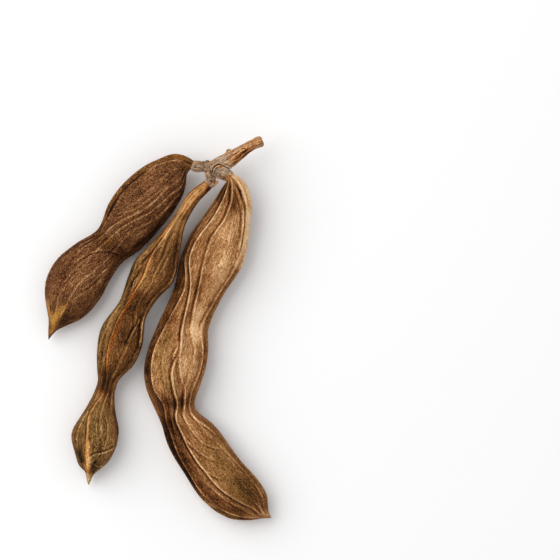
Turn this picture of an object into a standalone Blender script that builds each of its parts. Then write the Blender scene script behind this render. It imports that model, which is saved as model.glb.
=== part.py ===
"""A dried cluster of three velvet bean pods on one cut woody stalk, lying on a flat surface.

The design is in millimetres: X runs right and Y runs up as the cluster is seen from above,
and the pods lie on z = 0. Each pod is a loft through cuts placed by hand. A cut gives the
pod's two edges in plan, west and east, and how high and how thick the pod is there. Raised
lines run from end to end: the seam along each edge, and four veins on each face.
"""

import math
from dataclasses import dataclass

import bmesh
import bpy
import numpy as np
from mathutils import Vector

MM = 0.001

# The plan point that becomes the origin, under the middle of the whole cluster.
CLUSTER_MIDDLE = (0.03, -0.11)

# Clear space between a pod and the pedicel that carries it.
GAP = 0.35

# A pod's mesh: mean distance between rings, how much closer they stand near the ends, and
# where the columns stand between one raised line and the next.
POD_RING_PITCH = 2.1
POD_END_CROWDING = 0.35
PANEL_STEPS = (0.0, 0.2, 0.5, 0.8)

# Under 1, the oval of a cut is plumper than an ellipse.
OVAL_POWER = 0.9

# The raised lines: how far they stand up, their width, and the groove beside them.
SEAM_RISE = 0.45
SEAM_WIDTH = 0.9
VEIN_RISE = 0.65
VEIN_WIDTH = 0.75
GROOVE_DEPTH = 0.5
GROOVE_OFFSET = 2.2
FULL_RELIEF_DEPTH = 3.6

# The stalk's mesh, how far each way its heading is read from, and the ridges in its bark.
BARK_SIDES = 16
BARK_RING_PITCH = 1.1
HEADING_REACH = 0.1
BARK_RIDGES = 5
BARK_RIDGE_RISE = 0.07
BARK_TWIST = 0.12

# Where a pedicel meets its pod: its radius, and the length and swelling of its last stretch.
PEDICEL_RADIUS = 1.5
THICK_PEDICEL_RADIUS = 1.7
SEAT_LENGTH = 0.8
COLLAR = 1.1

SMOOTH_ANGLE = math.radians(50)


@dataclass(frozen=True)
class Cut:
    """One cut across a pod, in mm; veins are shares of its width from the west edge."""

    west: tuple
    east: tuple
    height: float
    depth: float
    lean: float
    veins: tuple

    def row(self):
        """The cut as one row of numbers, for the curve through all the cuts."""
        return [*self.west, *self.east, self.height, self.depth, self.lean, *self.veins]


@dataclass(frozen=True)
class Finish:
    """The look of one piece."""

    name: str
    colour: tuple
    roughness: float


@dataclass(frozen=True)
class Pod:
    """One pod: its cuts from the pedicel on, the point of its beak, and its raised lines.

    seam and veins say how boldly the seams and each of the four veins stand out.
    """

    name: str
    cuts: tuple
    tip: tuple
    seam: float
    veins: tuple
    finish: Finish

    def middles(self):
        """The middle of each cut, in plan."""
        return [(np.array(cut.west) + np.array(cut.east)) / 2 for cut in self.cuts]

    def boldness(self):
        """How boldly each line round a cut stands out, in the order of line_angles."""
        return 2 * [self.seam, *reversed(self.veins)]


@dataclass(frozen=True)
class Limb:
    """One arm of the stalk: the points (x, y, z, radius) that its middle runs through."""

    points: tuple


STALK_FINISH = Finish("stalk_bark", (0.34, 0.17, 0.08), 0.80)
POD_LEFT_FINISH = Finish("pod_left_skin", (0.17, 0.08, 0.04), 0.85)
POD_MIDDLE_FINISH = Finish("pod_middle_skin", (0.21, 0.10, 0.035), 0.85)
POD_RIGHT_FINISH = Finish("pod_right_skin", (0.33, 0.17, 0.07), 0.85)

POD_LEFT = Pod(
    name="pod_left",
    cuts=(
        Cut((10.7, 50.2), (9.8, 47.5), 9.0, 1.5, 0.0, (0.20, 0.40, 0.60, 0.80)),
        Cut((9.3, 51.1), (8.8, 46.2), 8.6, 2.4, -0.2, (0.22, 0.50, 0.68, 0.85)),
        Cut((6.9, 52.0), (8.4, 43.2), 7.9, 3.6, -0.5, (0.19, 0.62, 0.80, 0.93)),
        Cut((-0.9, 50.2), (5.7, 36.6), 6.6, 5.0, -1.0, (0.10, 0.61, 0.76, 0.88)),
        Cut((-9.0, 44.7), (0.8, 30.1), 5.7, 5.8, -1.2, (0.07, 0.60, 0.70, 0.85)),
        Cut((-14.7, 37.5), (-5.2, 23.6), 5.3, 5.5, -1.0, (0.06, 0.39, 0.51, 0.66)),
        Cut((-18.4, 29.4), (-11.1, 19.1), 4.8, 4.4, -0.6, (0.07, 0.19, 0.37, 0.69)),
        Cut((-24.6, 25.5), (-14.1, 14.7), 4.9, 5.0, -0.5, (0.05, 0.16, 0.39, 0.67)),
        Cut((-31.2, 19.5), (-17.7, 8.2), 5.3, 5.6, -0.5, (0.05, 0.15, 0.34, 0.57)),
        Cut((-34.0, 11.1), (-23.4, 2.5), 4.8, 4.6, -0.3, (0.08, 0.20, 0.38, 0.60)),
        Cut((-33.6, 6.6), (-27.0, 0.8), 4.3, 3.0, -0.2, (0.12, 0.27, 0.45, 0.65)),
        Cut((-32.9, 2.7), (-30.0, -0.6), 3.9, 1.7, 0.0, (0.20, 0.40, 0.60, 0.80)),
        Cut((-33.0, -1.2), (-31.8, -2.2), 3.6, 0.8, 0.0, (0.20, 0.40, 0.60, 0.80)),
    ),
    tip=(-32.9, -3.6, 3.5),
    seam=1.0,
    veins=(1.0, 1.0, 0.9, 0.8),
    finish=POD_LEFT_FINISH,
)

POD_MIDDLE = Pod(
    name="pod_middle",
    cuts=(
        Cut((13.7, 44.1), (16.1, 41.7), 9.0, 1.6, 0.0, (0.20, 0.45, 0.65, 0.85)),
        Cut((9.0, 40.4), (12.2, 37.6), 9.2, 1.9, 0.0, (0.15, 0.40, 0.65, 0.88)),
        Cut((5.5, 34.8), (8.8, 31.8), 8.8, 2.4, 0.0, (0.12, 0.33, 0.58, 0.83)),
        Cut((0.0, 27.8), (6.9, 24.3), 7.8, 3.7, 0.2, (0.10, 0.27, 0.55, 0.92)),
        Cut((-3.6, 24.0), (6.3, 20.7), 6.9, 4.9, 0.3, (0.09, 0.29, 0.60, 0.93)),
        Cut((-6.9, 20.4), (5.8, 17.4), 6.2, 5.8, 0.3, (0.08, 0.34, 0.59, 0.94)),
        Cut((-8.8, 15.9), (4.5, 13.8), 5.9, 6.1, 0.2, (0.11, 0.35, 0.57, 0.94)),
        Cut((-11.7, 7.8), (-0.3, 8.5), 5.6, 5.2, 0.0, (0.10, 0.27, 0.58, 0.88)),
        Cut((-13.7, 5.0), (-2.2, 5.8), 5.5, 5.0, 0.0, (0.11, 0.30, 0.64, 0.92)),
        Cut((-16.3, 1.5), (-3.6, 3.0), 5.5, 5.4, 0.0, (0.10, 0.34, 0.77, 0.93)),
        Cut((-18.3, -7.2), (-5.1, -6.6), 5.6, 5.8, 0.0, (0.09, 0.27, 0.66, 0.93)),
        Cut((-18.3, -12.0), (-7.6, -11.5), 5.1, 4.9, 0.0, (0.13, 0.30, 0.60, 0.89)),
        Cut((-18.1, -15.9), (-11.7, -15.6), 4.7, 3.3, 0.0, (0.18, 0.44, 0.66, 0.88)),
        Cut((-19.3, -19.5), (-12.9, -19.2), 4.6, 3.1, 0.0, (0.18, 0.48, 0.70, 0.90)),
        Cut((-21.6, -23.8), (-12.9, -23.7), 4.7, 4.2, 0.0, (0.11, 0.28, 0.60, 0.90)),
        Cut((-26.1, -32.1), (-11.7, -31.8), 5.3, 5.6, 0.0, (0.13, 0.36, 0.65, 0.91)),
        Cut((-25.3, -36.6), (-12.8, -36.6), 5.0, 5.1, 0.0, (0.12, 0.34, 0.73, 0.92)),
        Cut((-23.6, -41.4), (-15.6, -40.9), 4.4, 3.6, 0.0, (0.14, 0.33, 0.62, 0.87)),
        Cut((-21.9, -43.4), (-19.1, -43.9), 3.9, 1.6, 0.0, (0.20, 0.35, 0.60, 0.85)),
        Cut((-21.4, -45.9), (-20.2, -45.9), 3.6, 0.7, 0.0, (0.20, 0.40, 0.60, 0.80)),
    ),
    tip=(-20.8, -47.2, 3.5),
    seam=0.4,
    veins=(0.8, 1.5, 0.8, 1.0),
    finish=POD_MIDDLE_FINISH,
)

POD_RIGHT = Pod(
    name="pod_right",
    cuts=(
        Cut((20.7, 44.1), (22.3, 46.5), 9.0, 1.4, 0.0, (0.15, 0.35, 0.55, 0.83)),
        Cut((19.5, 42.6), (24.9, 45.0), 8.6, 2.5, 0.3, (0.12, 0.30, 0.50, 0.80)),
        Cut((16.9, 38.5), (28.1, 38.7), 7.5, 3.8, 0.7, (0.08, 0.24, 0.47, 0.80)),
        Cut((13.5, 33.6), (27.8, 32.1), 6.6, 4.7, 1.0, (0.06, 0.23, 0.47, 0.86)),
        Cut((9.6, 27.9), (27.1, 26.1), 5.8, 5.4, 1.2, (0.05, 0.165, 0.385, 0.89)),
        Cut((7.2, 22.5), (25.9, 20.1), 5.5, 5.6, 1.2, (0.05, 0.14, 0.385, 0.91)),
        Cut((4.8, 12.0), (19.3, 9.3), 5.2, 4.8, 1.0, (0.20, 0.34, 0.50, 0.93)),
        Cut((-0.3, 0.6), (15.1, -0.9), 5.2, 5.0, 0.8, (0.155, 0.505, 0.70, 0.875)),
        Cut((-3.0, -6.3), (15.1, -6.9), 5.4, 5.6, 0.8, (0.107, 0.537, 0.80, 0.925)),
        Cut((-4.2, -12.9), (14.1, -13.0), 5.5, 5.7, 0.8, (0.123, 0.467, 0.79, 0.93)),
        Cut((-3.3, -18.9), (12.2, -18.6), 5.3, 5.2, 0.7, (0.155, 0.534, 0.76, 0.89)),
        Cut((-1.2, -23.8), (11.0, -22.5), 4.8, 4.2, 0.6, (0.25, 0.588, 0.77, 0.90)),
        Cut((0.9, -28.5), (12.0, -25.1), 4.7, 4.0, 0.6, (0.15, 0.42, 0.65, 0.85)),
        Cut((2.5, -33.9), (16.2, -28.5), 4.9, 4.7, 0.8, (0.14, 0.36, 0.54, 0.80)),
        Cut((7.8, -43.5), (24.3, -39.1), 5.3, 5.6, 1.0, (0.08, 0.345, 0.62, 0.93)),
        Cut((14.4, -52.6), (30.9, -46.8), 5.1, 5.3, 0.9, (0.09, 0.427, 0.66, 0.93)),
        Cut((18.3, -55.6), (32.7, -50.1), 4.8, 4.7, 0.7, (0.12, 0.53, 0.72, 0.92)),
        Cut((22.5, -57.4), (33.0, -53.1), 4.3, 3.5, 0.4, (0.20, 0.66, 0.80, 0.92)),
        Cut((27.6, -57.7), (33.2, -54.8), 3.9, 2.2, 0.2, (0.25, 0.60, 0.75, 0.90)),
        Cut((31.2, -57.2), (33.6, -55.8), 3.6, 1.2, 0.0, (0.25, 0.50, 0.70, 0.85)),
    ),
    tip=(34.0, -57.0, 3.5),
    seam=1.0,
    veins=(0.9, 1.2, 1.0, 0.6),
    finish=POD_RIGHT_FINISH,
)

# The stem runs on into the left pod's pedicel.
STEM = Limb((
    (31.2, 56.0, 11.6, 1.50),
    (29.1, 55.2, 11.4, 1.56),
    (26.7, 53.9, 11.1, 1.62),
    (24.6, 52.5, 10.7, 1.89),
    (21.9, 50.7, 10.2, 2.28),
    (19.2, 49.2, 9.7, 2.40),
    (16.8, 48.3, 9.3, 2.10),
    (14.9, 48.2, 9.1, 1.50),
    (13.4, 48.4, 9.0, 1.36),
    (12.3, 48.5, 9.0, 1.56),
))

# The other two pedicels run from inside the stem to the pods that they carry.
PEDICEL_MIDDLE = Limb((
    (15.8, 48.6, 9.3, 1.30),
    (15.3, 46.6, 9.2, 1.29),
    (15.9, 44.8, 9.1, 1.40),
))
PEDICEL_RIGHT = Limb((
    (17.2, 48.6, 9.4, 1.70),
    (18.0, 47.4, 9.3, 2.15),
    (19.3, 46.7, 9.2, 2.25),
))

# Scars of fallen flowers, and the last scrap of dried calyx: (x, y, z, radius, flatness).
SCARS = (
    (21.4, 52.7, 10.4, 0.95, 0.8),
    (14.8, 49.5, 9.4, 0.80, 0.9),
    (13.6, 49.5, 9.1, 0.60, 0.9),
    (16.9, 43.4, 9.3, 0.80, 0.6),
)

class Curve:
    """A smooth curve through rows of numbers, each at its distance along the piece."""

    def __init__(self, rows, middles):
        self.rows = np.array(rows)
        steps = np.linalg.norm(np.diff(np.array(middles), axis=0), axis=1)
        self.stops = np.concatenate(([0.0], np.cumsum(steps)))
        self.slopes = np.gradient(self.rows, self.stops, axis=0)

    def length(self):
        """The distance along the middle, from end to end."""
        return float(self.stops[-1])

    def row(self, distance):
        """The row at a distance, from the two rows beside it and their slopes."""
        after = int(np.searchsorted(self.stops, distance))
        after = min(max(after, 1), len(self.stops) - 1)
        before = after - 1
        span = self.stops[after] - self.stops[before]
        u = (distance - self.stops[before]) / span
        placed = (2 * u**3 - 3 * u**2 + 1) * self.rows[before] + (3 * u**2 - 2 * u**3) * self.rows[after]
        pulled = (u**3 - 2 * u**2 + u) * self.slopes[before] + (u**3 - u**2) * self.slopes[after]
        return placed + span * pulled


def in_metres(x, y, z):
    """A design point as a point of the model, about its origin."""
    return Vector(((x - CLUSTER_MIDDLE[0]) * MM, (y - CLUSTER_MIDDLE[1]) * MM, z * MM))


def crowded_stops(length, pitch, crowding):
    """Distances from 0 to length, closer together near both ends."""
    count = max(4, round(length / pitch))
    shares = [index / count for index in range(count + 1)]
    return [length * (u - crowding * math.sin(2 * math.pi * u) / (2 * math.pi)) for u in shares]


def line_angles(veins):
    """Where the raised lines stand round a cut: 0 is the east edge and pi the west one.

    The underside has the same veins as the top, turned half way round.
    """
    top = [0.0] + [math.acos(2 * share - 1) for share in reversed(veins)]
    return top + [math.pi + angle for angle in top]


def column_angles(lines):
    """The angles of the mesh's columns, which follow the raised lines."""
    ends = lines[1:] + [2 * math.pi]
    return [
        start + step * (end - start)
        for start, end in zip(lines, ends)
        for step in PANEL_STEPS
    ]


def seam_relief(distance):
    """The height of a seam at a distance across it: a bead between two grooves."""
    bead = math.exp(-(distance / SEAM_WIDTH) ** 2)
    groove = math.exp(-((abs(distance) / SEAM_WIDTH - GROOVE_OFFSET) ** 2))
    return SEAM_RISE * bead - GROOVE_DEPTH * groove


def vein_relief(distance):
    """The height of a vein at a distance across it: a ridge with a groove on one side."""
    ridge = math.exp(-(distance / VEIN_WIDTH) ** 2)
    groove = math.exp(-((distance / VEIN_WIDTH - GROOVE_OFFSET) ** 2))
    return VEIN_RISE * ridge - GROOVE_DEPTH * groove


def relief(angle, lines, boldness, radius):
    """The height of all the raised lines together, at an angle round a cut."""
    total = 0.0
    for index, line in enumerate(lines):
        turn = (angle - line + math.pi) % (2 * math.pi) - math.pi
        shape = seam_relief if index % (len(lines) // 2) == 0 else vein_relief
        total += boldness[index] * shape(turn * radius)
    return total


def pod_ring(row, boldness):
    """The points of one ring of a pod, from the numbers of its cut."""
    west, east = np.array(row[0:2]), np.array(row[2:4])
    height, depth, lean = row[4:7]
    strength = min(1.0, depth / FULL_RELIEF_DEPTH) ** 2
    middle = (west + east) / 2
    across = (east - west) / np.linalg.norm(east - west)
    half = np.linalg.norm(east - west) / 2 - SEAM_RISE * strength * boldness[0]
    lines = line_angles(row[7:])
    points = []
    for angle in column_angles(lines):
        c, s = math.cos(angle), math.sin(angle)
        rise = strength * relief(angle, lines, boldness, math.hypot(half * s, depth * c))
        facing = math.hypot(c / half, s / depth)
        out = half * c + rise * c / half / facing
        up = math.copysign(depth * abs(s) ** OVAL_POWER, s) + rise * s / depth / facing
        x, y = middle + across * out
        points.append((x, y, max(0.0, height + lean * c + up)))
    return points


def loft(mesh, rings):
    """Add rings of points to a mesh and join each to the next; return the first and last."""
    loops = [[mesh.verts.new(in_metres(*point)) for point in ring] for ring in rings]
    for lower, upper in zip(loops, loops[1:]):
        for index in range(len(lower)):
            after = (index + 1) % len(lower)
            mesh.faces.new((lower[index], lower[after], upper[after], upper[index]))
    return loops[0], loops[-1]


def close_end(mesh, loop, point):
    """Close a ring with a fan of triangles that meet at a point."""
    peak = mesh.verts.new(in_metres(*point))
    for index, vert in enumerate(loop):
        mesh.faces.new((vert, loop[(index + 1) % len(loop)], peak))


def middle_of(points):
    """The middle of a ring of points."""
    return tuple(np.mean(np.array(points), axis=0))


def make_material(finish):
    """A plain material in a piece's own colour."""
    material = bpy.data.materials.new(finish.name)
    material.use_nodes = True
    shader = material.node_tree.nodes["Principled BSDF"]
    shader.inputs["Base Color"].default_value = (*finish.colour, 1.0)
    shader.inputs["Roughness"].default_value = finish.roughness
    shader.inputs["Metallic"].default_value = 0.0
    return material


def make_object(name, mesh, finish, collection):
    """Put a bmesh in the scene as a smooth-shaded object whose faces point out."""
    bmesh.ops.recalc_face_normals(mesh, faces=mesh.faces)
    data = bpy.data.meshes.new(name)
    mesh.to_mesh(data)
    mesh.free()
    data.shade_smooth()
    data.set_sharp_from_angle(angle=SMOOTH_ANGLE)
    data.materials.append(make_material(finish))
    piece = bpy.data.objects.new(name, data)
    collection.objects.link(piece)
    return piece


def make_pod(pod):
    """One closed pod: flat where its pedicel holds it, and drawn to a point at its beak."""
    curve = Curve([cut.row() for cut in pod.cuts], pod.middles())
    stops = crowded_stops(curve.length(), POD_RING_PITCH, POD_END_CROWDING)
    rings = [pod_ring(curve.row(stop), pod.boldness()) for stop in stops]
    mesh = bmesh.new()
    first, last = loft(mesh, rings)
    close_end(mesh, first, middle_of(rings[0]))
    close_end(mesh, last, pod.tip)
    return make_object(pod.name, mesh, pod.finish, bpy.context.scene.collection)


def seated(limb, pod, radius):
    """A limb run on to its pod: square to the pod's first cut, and GAP away from it."""
    first, second = pod.middles()[:2]
    across = np.array(pod.cuts[0].east) - np.array(pod.cuts[0].west)
    axis = np.array((-across[1], across[0])) / np.linalg.norm(across)
    if axis @ (second - first) < 0:
        axis = -axis
    seat = first - axis * GAP
    neck = seat - axis * SEAT_LENGTH
    height = pod.cuts[0].height
    return Limb(limb.points + ((*neck, height, radius * COLLAR), (*seat, height, radius)))


def bark_ring(row, heading, distance):
    """One ring of the stalk, square to its heading, with the bark's ridges round it."""
    middle, radius = Vector(row[:3]), row[3]
    side = heading.cross(Vector((0, 0, 1))).normalized()
    up = side.cross(heading).normalized()
    points = []
    for index in range(BARK_SIDES):
        angle = 2 * math.pi * index / BARK_SIDES
        ridge = 1 + BARK_RIDGE_RISE * math.cos(BARK_RIDGES * angle + BARK_TWIST * distance)
        points.append(middle + (side * math.cos(angle) + up * math.sin(angle)) * radius * ridge)
    return points


def make_limb(name, limb, collection):
    """One closed arm of the stalk, with a flat face at each end."""
    curve = Curve(limb.points, [point[:3] for point in limb.points])
    count = max(4, round(curve.length() / BARK_RING_PITCH))
    stops = [curve.length() * index / count for index in range(count + 1)]
    rings = []
    for stop in stops:
        behind = max(stop - HEADING_REACH, 0.0)
        ahead = min(stop + HEADING_REACH, curve.length())
        heading = Vector(curve.row(ahead)[:3]) - Vector(curve.row(behind)[:3])
        rings.append(bark_ring(curve.row(stop), heading.normalized(), stop))
    mesh = bmesh.new()
    first, last = loft(mesh, rings)
    close_end(mesh, first, middle_of(rings[0]))
    close_end(mesh, last, middle_of(rings[-1]))
    return make_object(name, mesh, STALK_FINISH, collection)


def make_scar(name, x, y, z, radius, flatness, collection):
    """A small knob that stands half out of the stalk."""
    mesh = bmesh.new()
    bmesh.ops.create_icosphere(mesh, subdivisions=2, radius=radius * MM)
    bmesh.ops.scale(mesh, vec=(1.0, 1.0, flatness), verts=mesh.verts)
    bmesh.ops.translate(mesh, vec=in_metres(x, y, z), verts=mesh.verts)
    return make_object(name, mesh, STALK_FINISH, collection)


def fuse(piece, collection):
    """Join a collection's objects to a piece as one body, then remove them."""
    union = piece.modifiers.new("grown_together", "BOOLEAN")
    union.operation = "UNION"
    union.solver = "EXACT"
    union.operand_type = "COLLECTION"
    union.collection = collection
    depsgraph = bpy.context.evaluated_depsgraph_get()
    joined = bpy.data.meshes.new_from_object(piece.evaluated_get(depsgraph))
    piece.modifiers.clear()
    piece.data = joined
    for part in list(collection.objects):
        bpy.data.objects.remove(part)
    bpy.data.collections.remove(collection)


def make_stalk():
    """The whole stalk: its stem, its three pedicels, and the scars on them."""
    stem = make_limb("stalk", seated(STEM, POD_LEFT, PEDICEL_RADIUS), bpy.context.scene.collection)
    grown = bpy.data.collections.new("grown_on_stalk")
    bpy.context.scene.collection.children.link(grown)
    make_limb("pedicel_middle", seated(PEDICEL_MIDDLE, POD_MIDDLE, PEDICEL_RADIUS), grown)
    make_limb("pedicel_right", seated(PEDICEL_RIGHT, POD_RIGHT, THICK_PEDICEL_RADIUS), grown)
    for index, scar in enumerate(SCARS):
        make_scar(f"scar_{index}", *scar, grown)
    fuse(stem, grown)


def main():
    """Build the cluster in an empty scene."""
    for old in list(bpy.data.objects):
        bpy.data.objects.remove(old)
    make_stalk()
    for pod in (POD_LEFT, POD_MIDDLE, POD_RIGHT):
        make_pod(pod)


main()
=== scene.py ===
"""The looks of a dried cluster of three velvet bean pods on one cut stalk.

Each pod repeats the cuts that its solid was lofted through, so the fine skin lies where the
solid is, and adds the veins, folds, stains, painted shade, painted light and short hair that the
solid leaves out. The design is in millimetres, seen from above with the beaks towards -Y;
meshes are in metres.
"""

import logging
import math
from collections.abc import Sequence
from dataclasses import dataclass, field
from enum import Enum

import bpy
import numpy as np
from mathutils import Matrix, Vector, noise


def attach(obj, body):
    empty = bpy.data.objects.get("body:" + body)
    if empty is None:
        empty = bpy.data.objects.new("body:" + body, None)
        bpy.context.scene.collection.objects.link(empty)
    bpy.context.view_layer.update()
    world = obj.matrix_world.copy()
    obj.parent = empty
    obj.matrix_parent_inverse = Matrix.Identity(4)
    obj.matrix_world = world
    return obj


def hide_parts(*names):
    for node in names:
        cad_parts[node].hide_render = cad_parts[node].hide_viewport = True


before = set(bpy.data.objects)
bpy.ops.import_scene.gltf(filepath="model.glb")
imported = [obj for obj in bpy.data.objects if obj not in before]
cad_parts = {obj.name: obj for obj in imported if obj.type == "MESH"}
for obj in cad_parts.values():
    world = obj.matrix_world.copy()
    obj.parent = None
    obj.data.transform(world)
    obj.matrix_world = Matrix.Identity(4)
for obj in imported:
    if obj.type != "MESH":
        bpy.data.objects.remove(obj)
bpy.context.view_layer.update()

LOG = logging.getLogger("velvet_bean_pod")
BODY = "root"
MM = 0.001

Plan = tuple[float, float]
Place = tuple[float, float, float]
Station = tuple[float, float, float, float]
Colour = tuple[int, int, int]

# The plan point of the design that lies at the frame's origin.
CLUSTER_MIDDLE = np.array((0.03, -0.11))

# The solid's own relief, which the fine skin follows, in mm.
OVAL_POWER = 0.9
SEAM_RISE = 0.45
SEAM_WIDTH = 0.9
VEIN_RISE = 0.65
VEIN_WIDTH = 0.75
GROOVE_DEPTH = 0.5
GROOVE_OFFSET = 2.2
FULL_RELIEF_DEPTH = 3.6

# The sharp line along the top of a main vein and the crease beside it, in mm.
LINE_RISE = 0.22
LINE_REACH = 0.21
CREASE_DEPTH = 0.25
CREASE_REACH = 0.36
CREASE_OFFSET = 0.75

# How much of a vein's change of tone a seam shows, how far the folds shift the tone, and the
# palest tone, which leaves the grain room to show.
SEAM_TONE = 0.3
FOLD_TONE = 0.05
PALEST_TONE = 0.95

# The folds: how far apart they change along a pod, how many go round it, how sharp they are,
# how much closer the fine ones lie, and the share of the sharp ones.
FOLD_PITCH = 0.10
FINE_PITCH = 0.22
FOLD_TURNS = 3.2
FOLD_SHARPNESS = 2.4
FINE_TIMES = 2.6
FOLD_SHARE = 0.6

# A pod's mesh: how much closer its rings lie near both ends, how evenly its columns lie, how
# wide the ring is that closes its start, how quickly drawn lines fade below its edges, and the
# radius in mm that its grain is laid round.
END_CROWDING = 0.5
EVEN_SHARE = 0.3
CLOSING_SHARE = 0.6
UNDER_STEEPNESS = 3
GRAIN_RADIUS = 7

# A fine vein, in multiples of its width: how far it reaches, and how far off its groove lies.
# Then the shares of its length over which it fades in and out.
VEIN_REACH = 5
GROOVE_STEP = 1.9
FADE_IN = 0.15
FADE_OUT = 0.2

# How strong a fine vein's groove is beside its crest, in height and in tone, and the same for
# a crack's lips. Then how many times its reach a stroke is worked out for.
GROOVE_SHARE = (0.7, 0.9)
LIP_SHARE = (0.35, 0.2)
STROKE_REACH = 3

# The Mix node's sockets for colours: the share, the two colours, and the mixture.
MIX_SHARE = 0
MIX_FIRST = 6
MIX_SECOND = 7
MIX_RESULT = 2

# How much smoother and rougher than its finish the grain makes the skin.
SMOOTHER = 0.1
ROUGHER = 0.12

# The fewest steps that a limb is read at. Then where the numbers of a step stand in its row:
# the radius, the distance from the start, and the directions beside and above the limb.
LEAST_STEPS = 4
RADIUS = 3
ALONG = 4
BESIDE = slice(5, 8)
ABOVE = slice(8, 11)

# The bark: the radius in mm that its patterns are laid round, how sharp its fibres are, the
# shares of fibres and scales in its relief, how narrow and how many mm deep its small splits
# are, and how far relief and splits shift the tone.
BARK_RADIUS = 1.8
FIBRE_SHARPNESS = 2.5
FIBRE_SHARE = 0.65
SCALE_SHARE = 0.5
SPLIT_REACH = 0.05
SPLIT_DEPTH = 0.10
BARK_TONE = 0.16
SPLIT_TONE = 0.30

# The waves along a ring scar, each as turns, shift per mm and height. Then how it fades round
# the limb: turns, shift per mm, middle strength, and how far the strength swings.
SCAR_WAVES = ((2, 1, 1.0), (5, 3, 0.6))
SCAR_FADE = (3, 7, 0.6, 0.4)

# How strongly drawn cracks show on a limb's sides, how much more on top, and at least.
CRACK_SIDE = 0.6
CRACK_TOP = 1.6
CRACK_LEAST = 0.1

# A limb's last points: how far each stands from its pod's first cut, in mm, and how wide the
# limb is there, as a share of its radius.
SEAT_ENDS = ((-1.15, 1.1), (-0.35, 1.0), (0.2, 0.93))


class GrooveSide(Enum):
    """Which side of a vein its groove lies on, looking from the stalk towards the beak."""

    WEST = -1.0
    EAST = 1.0
    BOTH = 0.0


def linear(colour: Colour) -> tuple[float, float, float, float]:
    """Turn an everyday 0 to 255 colour into the linear one that shaders take.

    Args:
        colour: Red, green and blue.

    Returns:
        Linear red, green and blue, and full opacity.
    """
    shares = [channel / 255 for channel in colour]
    bright = [s / 12.92 if s <= 0.04045 else ((s + 0.055) / 1.055) ** 2.4 for s in shares]
    return (*bright, 1.0)


def bell(distance: np.ndarray, reach: float) -> np.ndarray:
    """A smooth bump of height 1, which dies away over its reach.

    Args:
        distance: How far each place is from the middle of the bump.
        reach: Where the bump has fallen to about a third.

    Returns:
        The bump's height at each place.
    """
    return np.exp(-((distance / reach) ** 2))


class Curve:
    """A smooth curve through rows of numbers, each at its distance along the piece."""

    def __init__(self, rows: Sequence[Sequence[float]], middles: Sequence[Sequence[float]]) -> None:
        """Measure the stops along the middle, and the slope of every number at each.

        Args:
            rows: The numbers at each stop.
            middles: The point that each row belongs to, which gives the distances.
        """
        self.rows = np.array(rows, dtype=float)
        steps = np.linalg.norm(np.diff(np.array(middles, dtype=float), axis=0), axis=1)
        self.stops = np.concatenate(([0.0], np.cumsum(steps)))
        self.slopes = np.gradient(self.rows, self.stops, axis=0)

    def length(self) -> float:
        """Measure the curve.

        Returns:
            The distance along the middle, from end to end.
        """
        return float(self.stops[-1])

    def read(self, distances: np.ndarray) -> np.ndarray:
        """Read the rows at many distances.

        Args:
            distances: How far along the piece each row is wanted.

        Returns:
            One row of numbers for each distance.
        """
        after = np.clip(np.searchsorted(self.stops, distances), 1, len(self.stops) - 1)
        before = after - 1
        span = (self.stops[after] - self.stops[before])[:, None]
        u = (distances - self.stops[before])[:, None] / span
        start, end = 2 * u**3 - 3 * u**2 + 1, 3 * u**2 - 2 * u**3
        placed = start * self.rows[before] + end * self.rows[after]
        pulled = (u**3 - 2 * u**2 + u) * self.slopes[before] + (u**3 - u**2) * self.slopes[after]
        return placed + span * pulled


@dataclass(frozen=True)
class Trace:
    """A line drawn on a pod's face, in plan, from the stalk towards the beak."""

    points: tuple[Plan, ...]

    def line(self, pitch: float = 1.0) -> np.ndarray:
        """The trace as short straight steps.

        Args:
            pitch: The length of a step.

        Returns:
            The points of the line.
        """
        curve = Curve(self.points, self.points)
        count = max(2, round(curve.length() / pitch) + 1)
        return curve.read(np.linspace(0.0, curve.length(), count))

    def near(self, places: np.ndarray, reach: float) -> np.ndarray:
        """Pick the places that lie within reach of the box round the trace.

        Args:
            places: Points in plan.
            reach: How far outside the box a place may lie, in mm.

        Returns:
            True for each place that is picked.
        """
        corners = np.array(self.points)
        low, high = corners.min(axis=0) - reach, corners.max(axis=0) + reach
        return np.all((places > low) & (places < high), axis=1)

    def measure(self, places: np.ndarray) -> tuple[np.ndarray, np.ndarray]:
        """Measure every place against the trace.

        Args:
            places: Points in plan.

        Returns:
            Each place's distance, which is below zero on the west side, and the share of
            the trace that lies before the point nearest to it.
        """
        line = self.line()
        nearest = np.full(len(places), np.inf)
        side = np.ones(len(places))
        share = np.zeros(len(places))
        for index, (start, end) in enumerate(zip(line, line[1:])):
            along = end - start
            offset = places - start
            q = np.clip(offset @ along / (along @ along), 0.0, 1.0)
            away = offset - q[:, None] * along
            distance = np.hypot(away[:, 0], away[:, 1])
            closer = distance < nearest
            nearest = np.where(closer, distance, nearest)
            turn = np.sign(along[0] * away[:, 1] - along[1] * away[:, 0])
            side = np.where(closer, turn, side)
            share = np.where(closer, (index + q) / (len(line) - 1), share)
        return nearest * side, share


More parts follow.
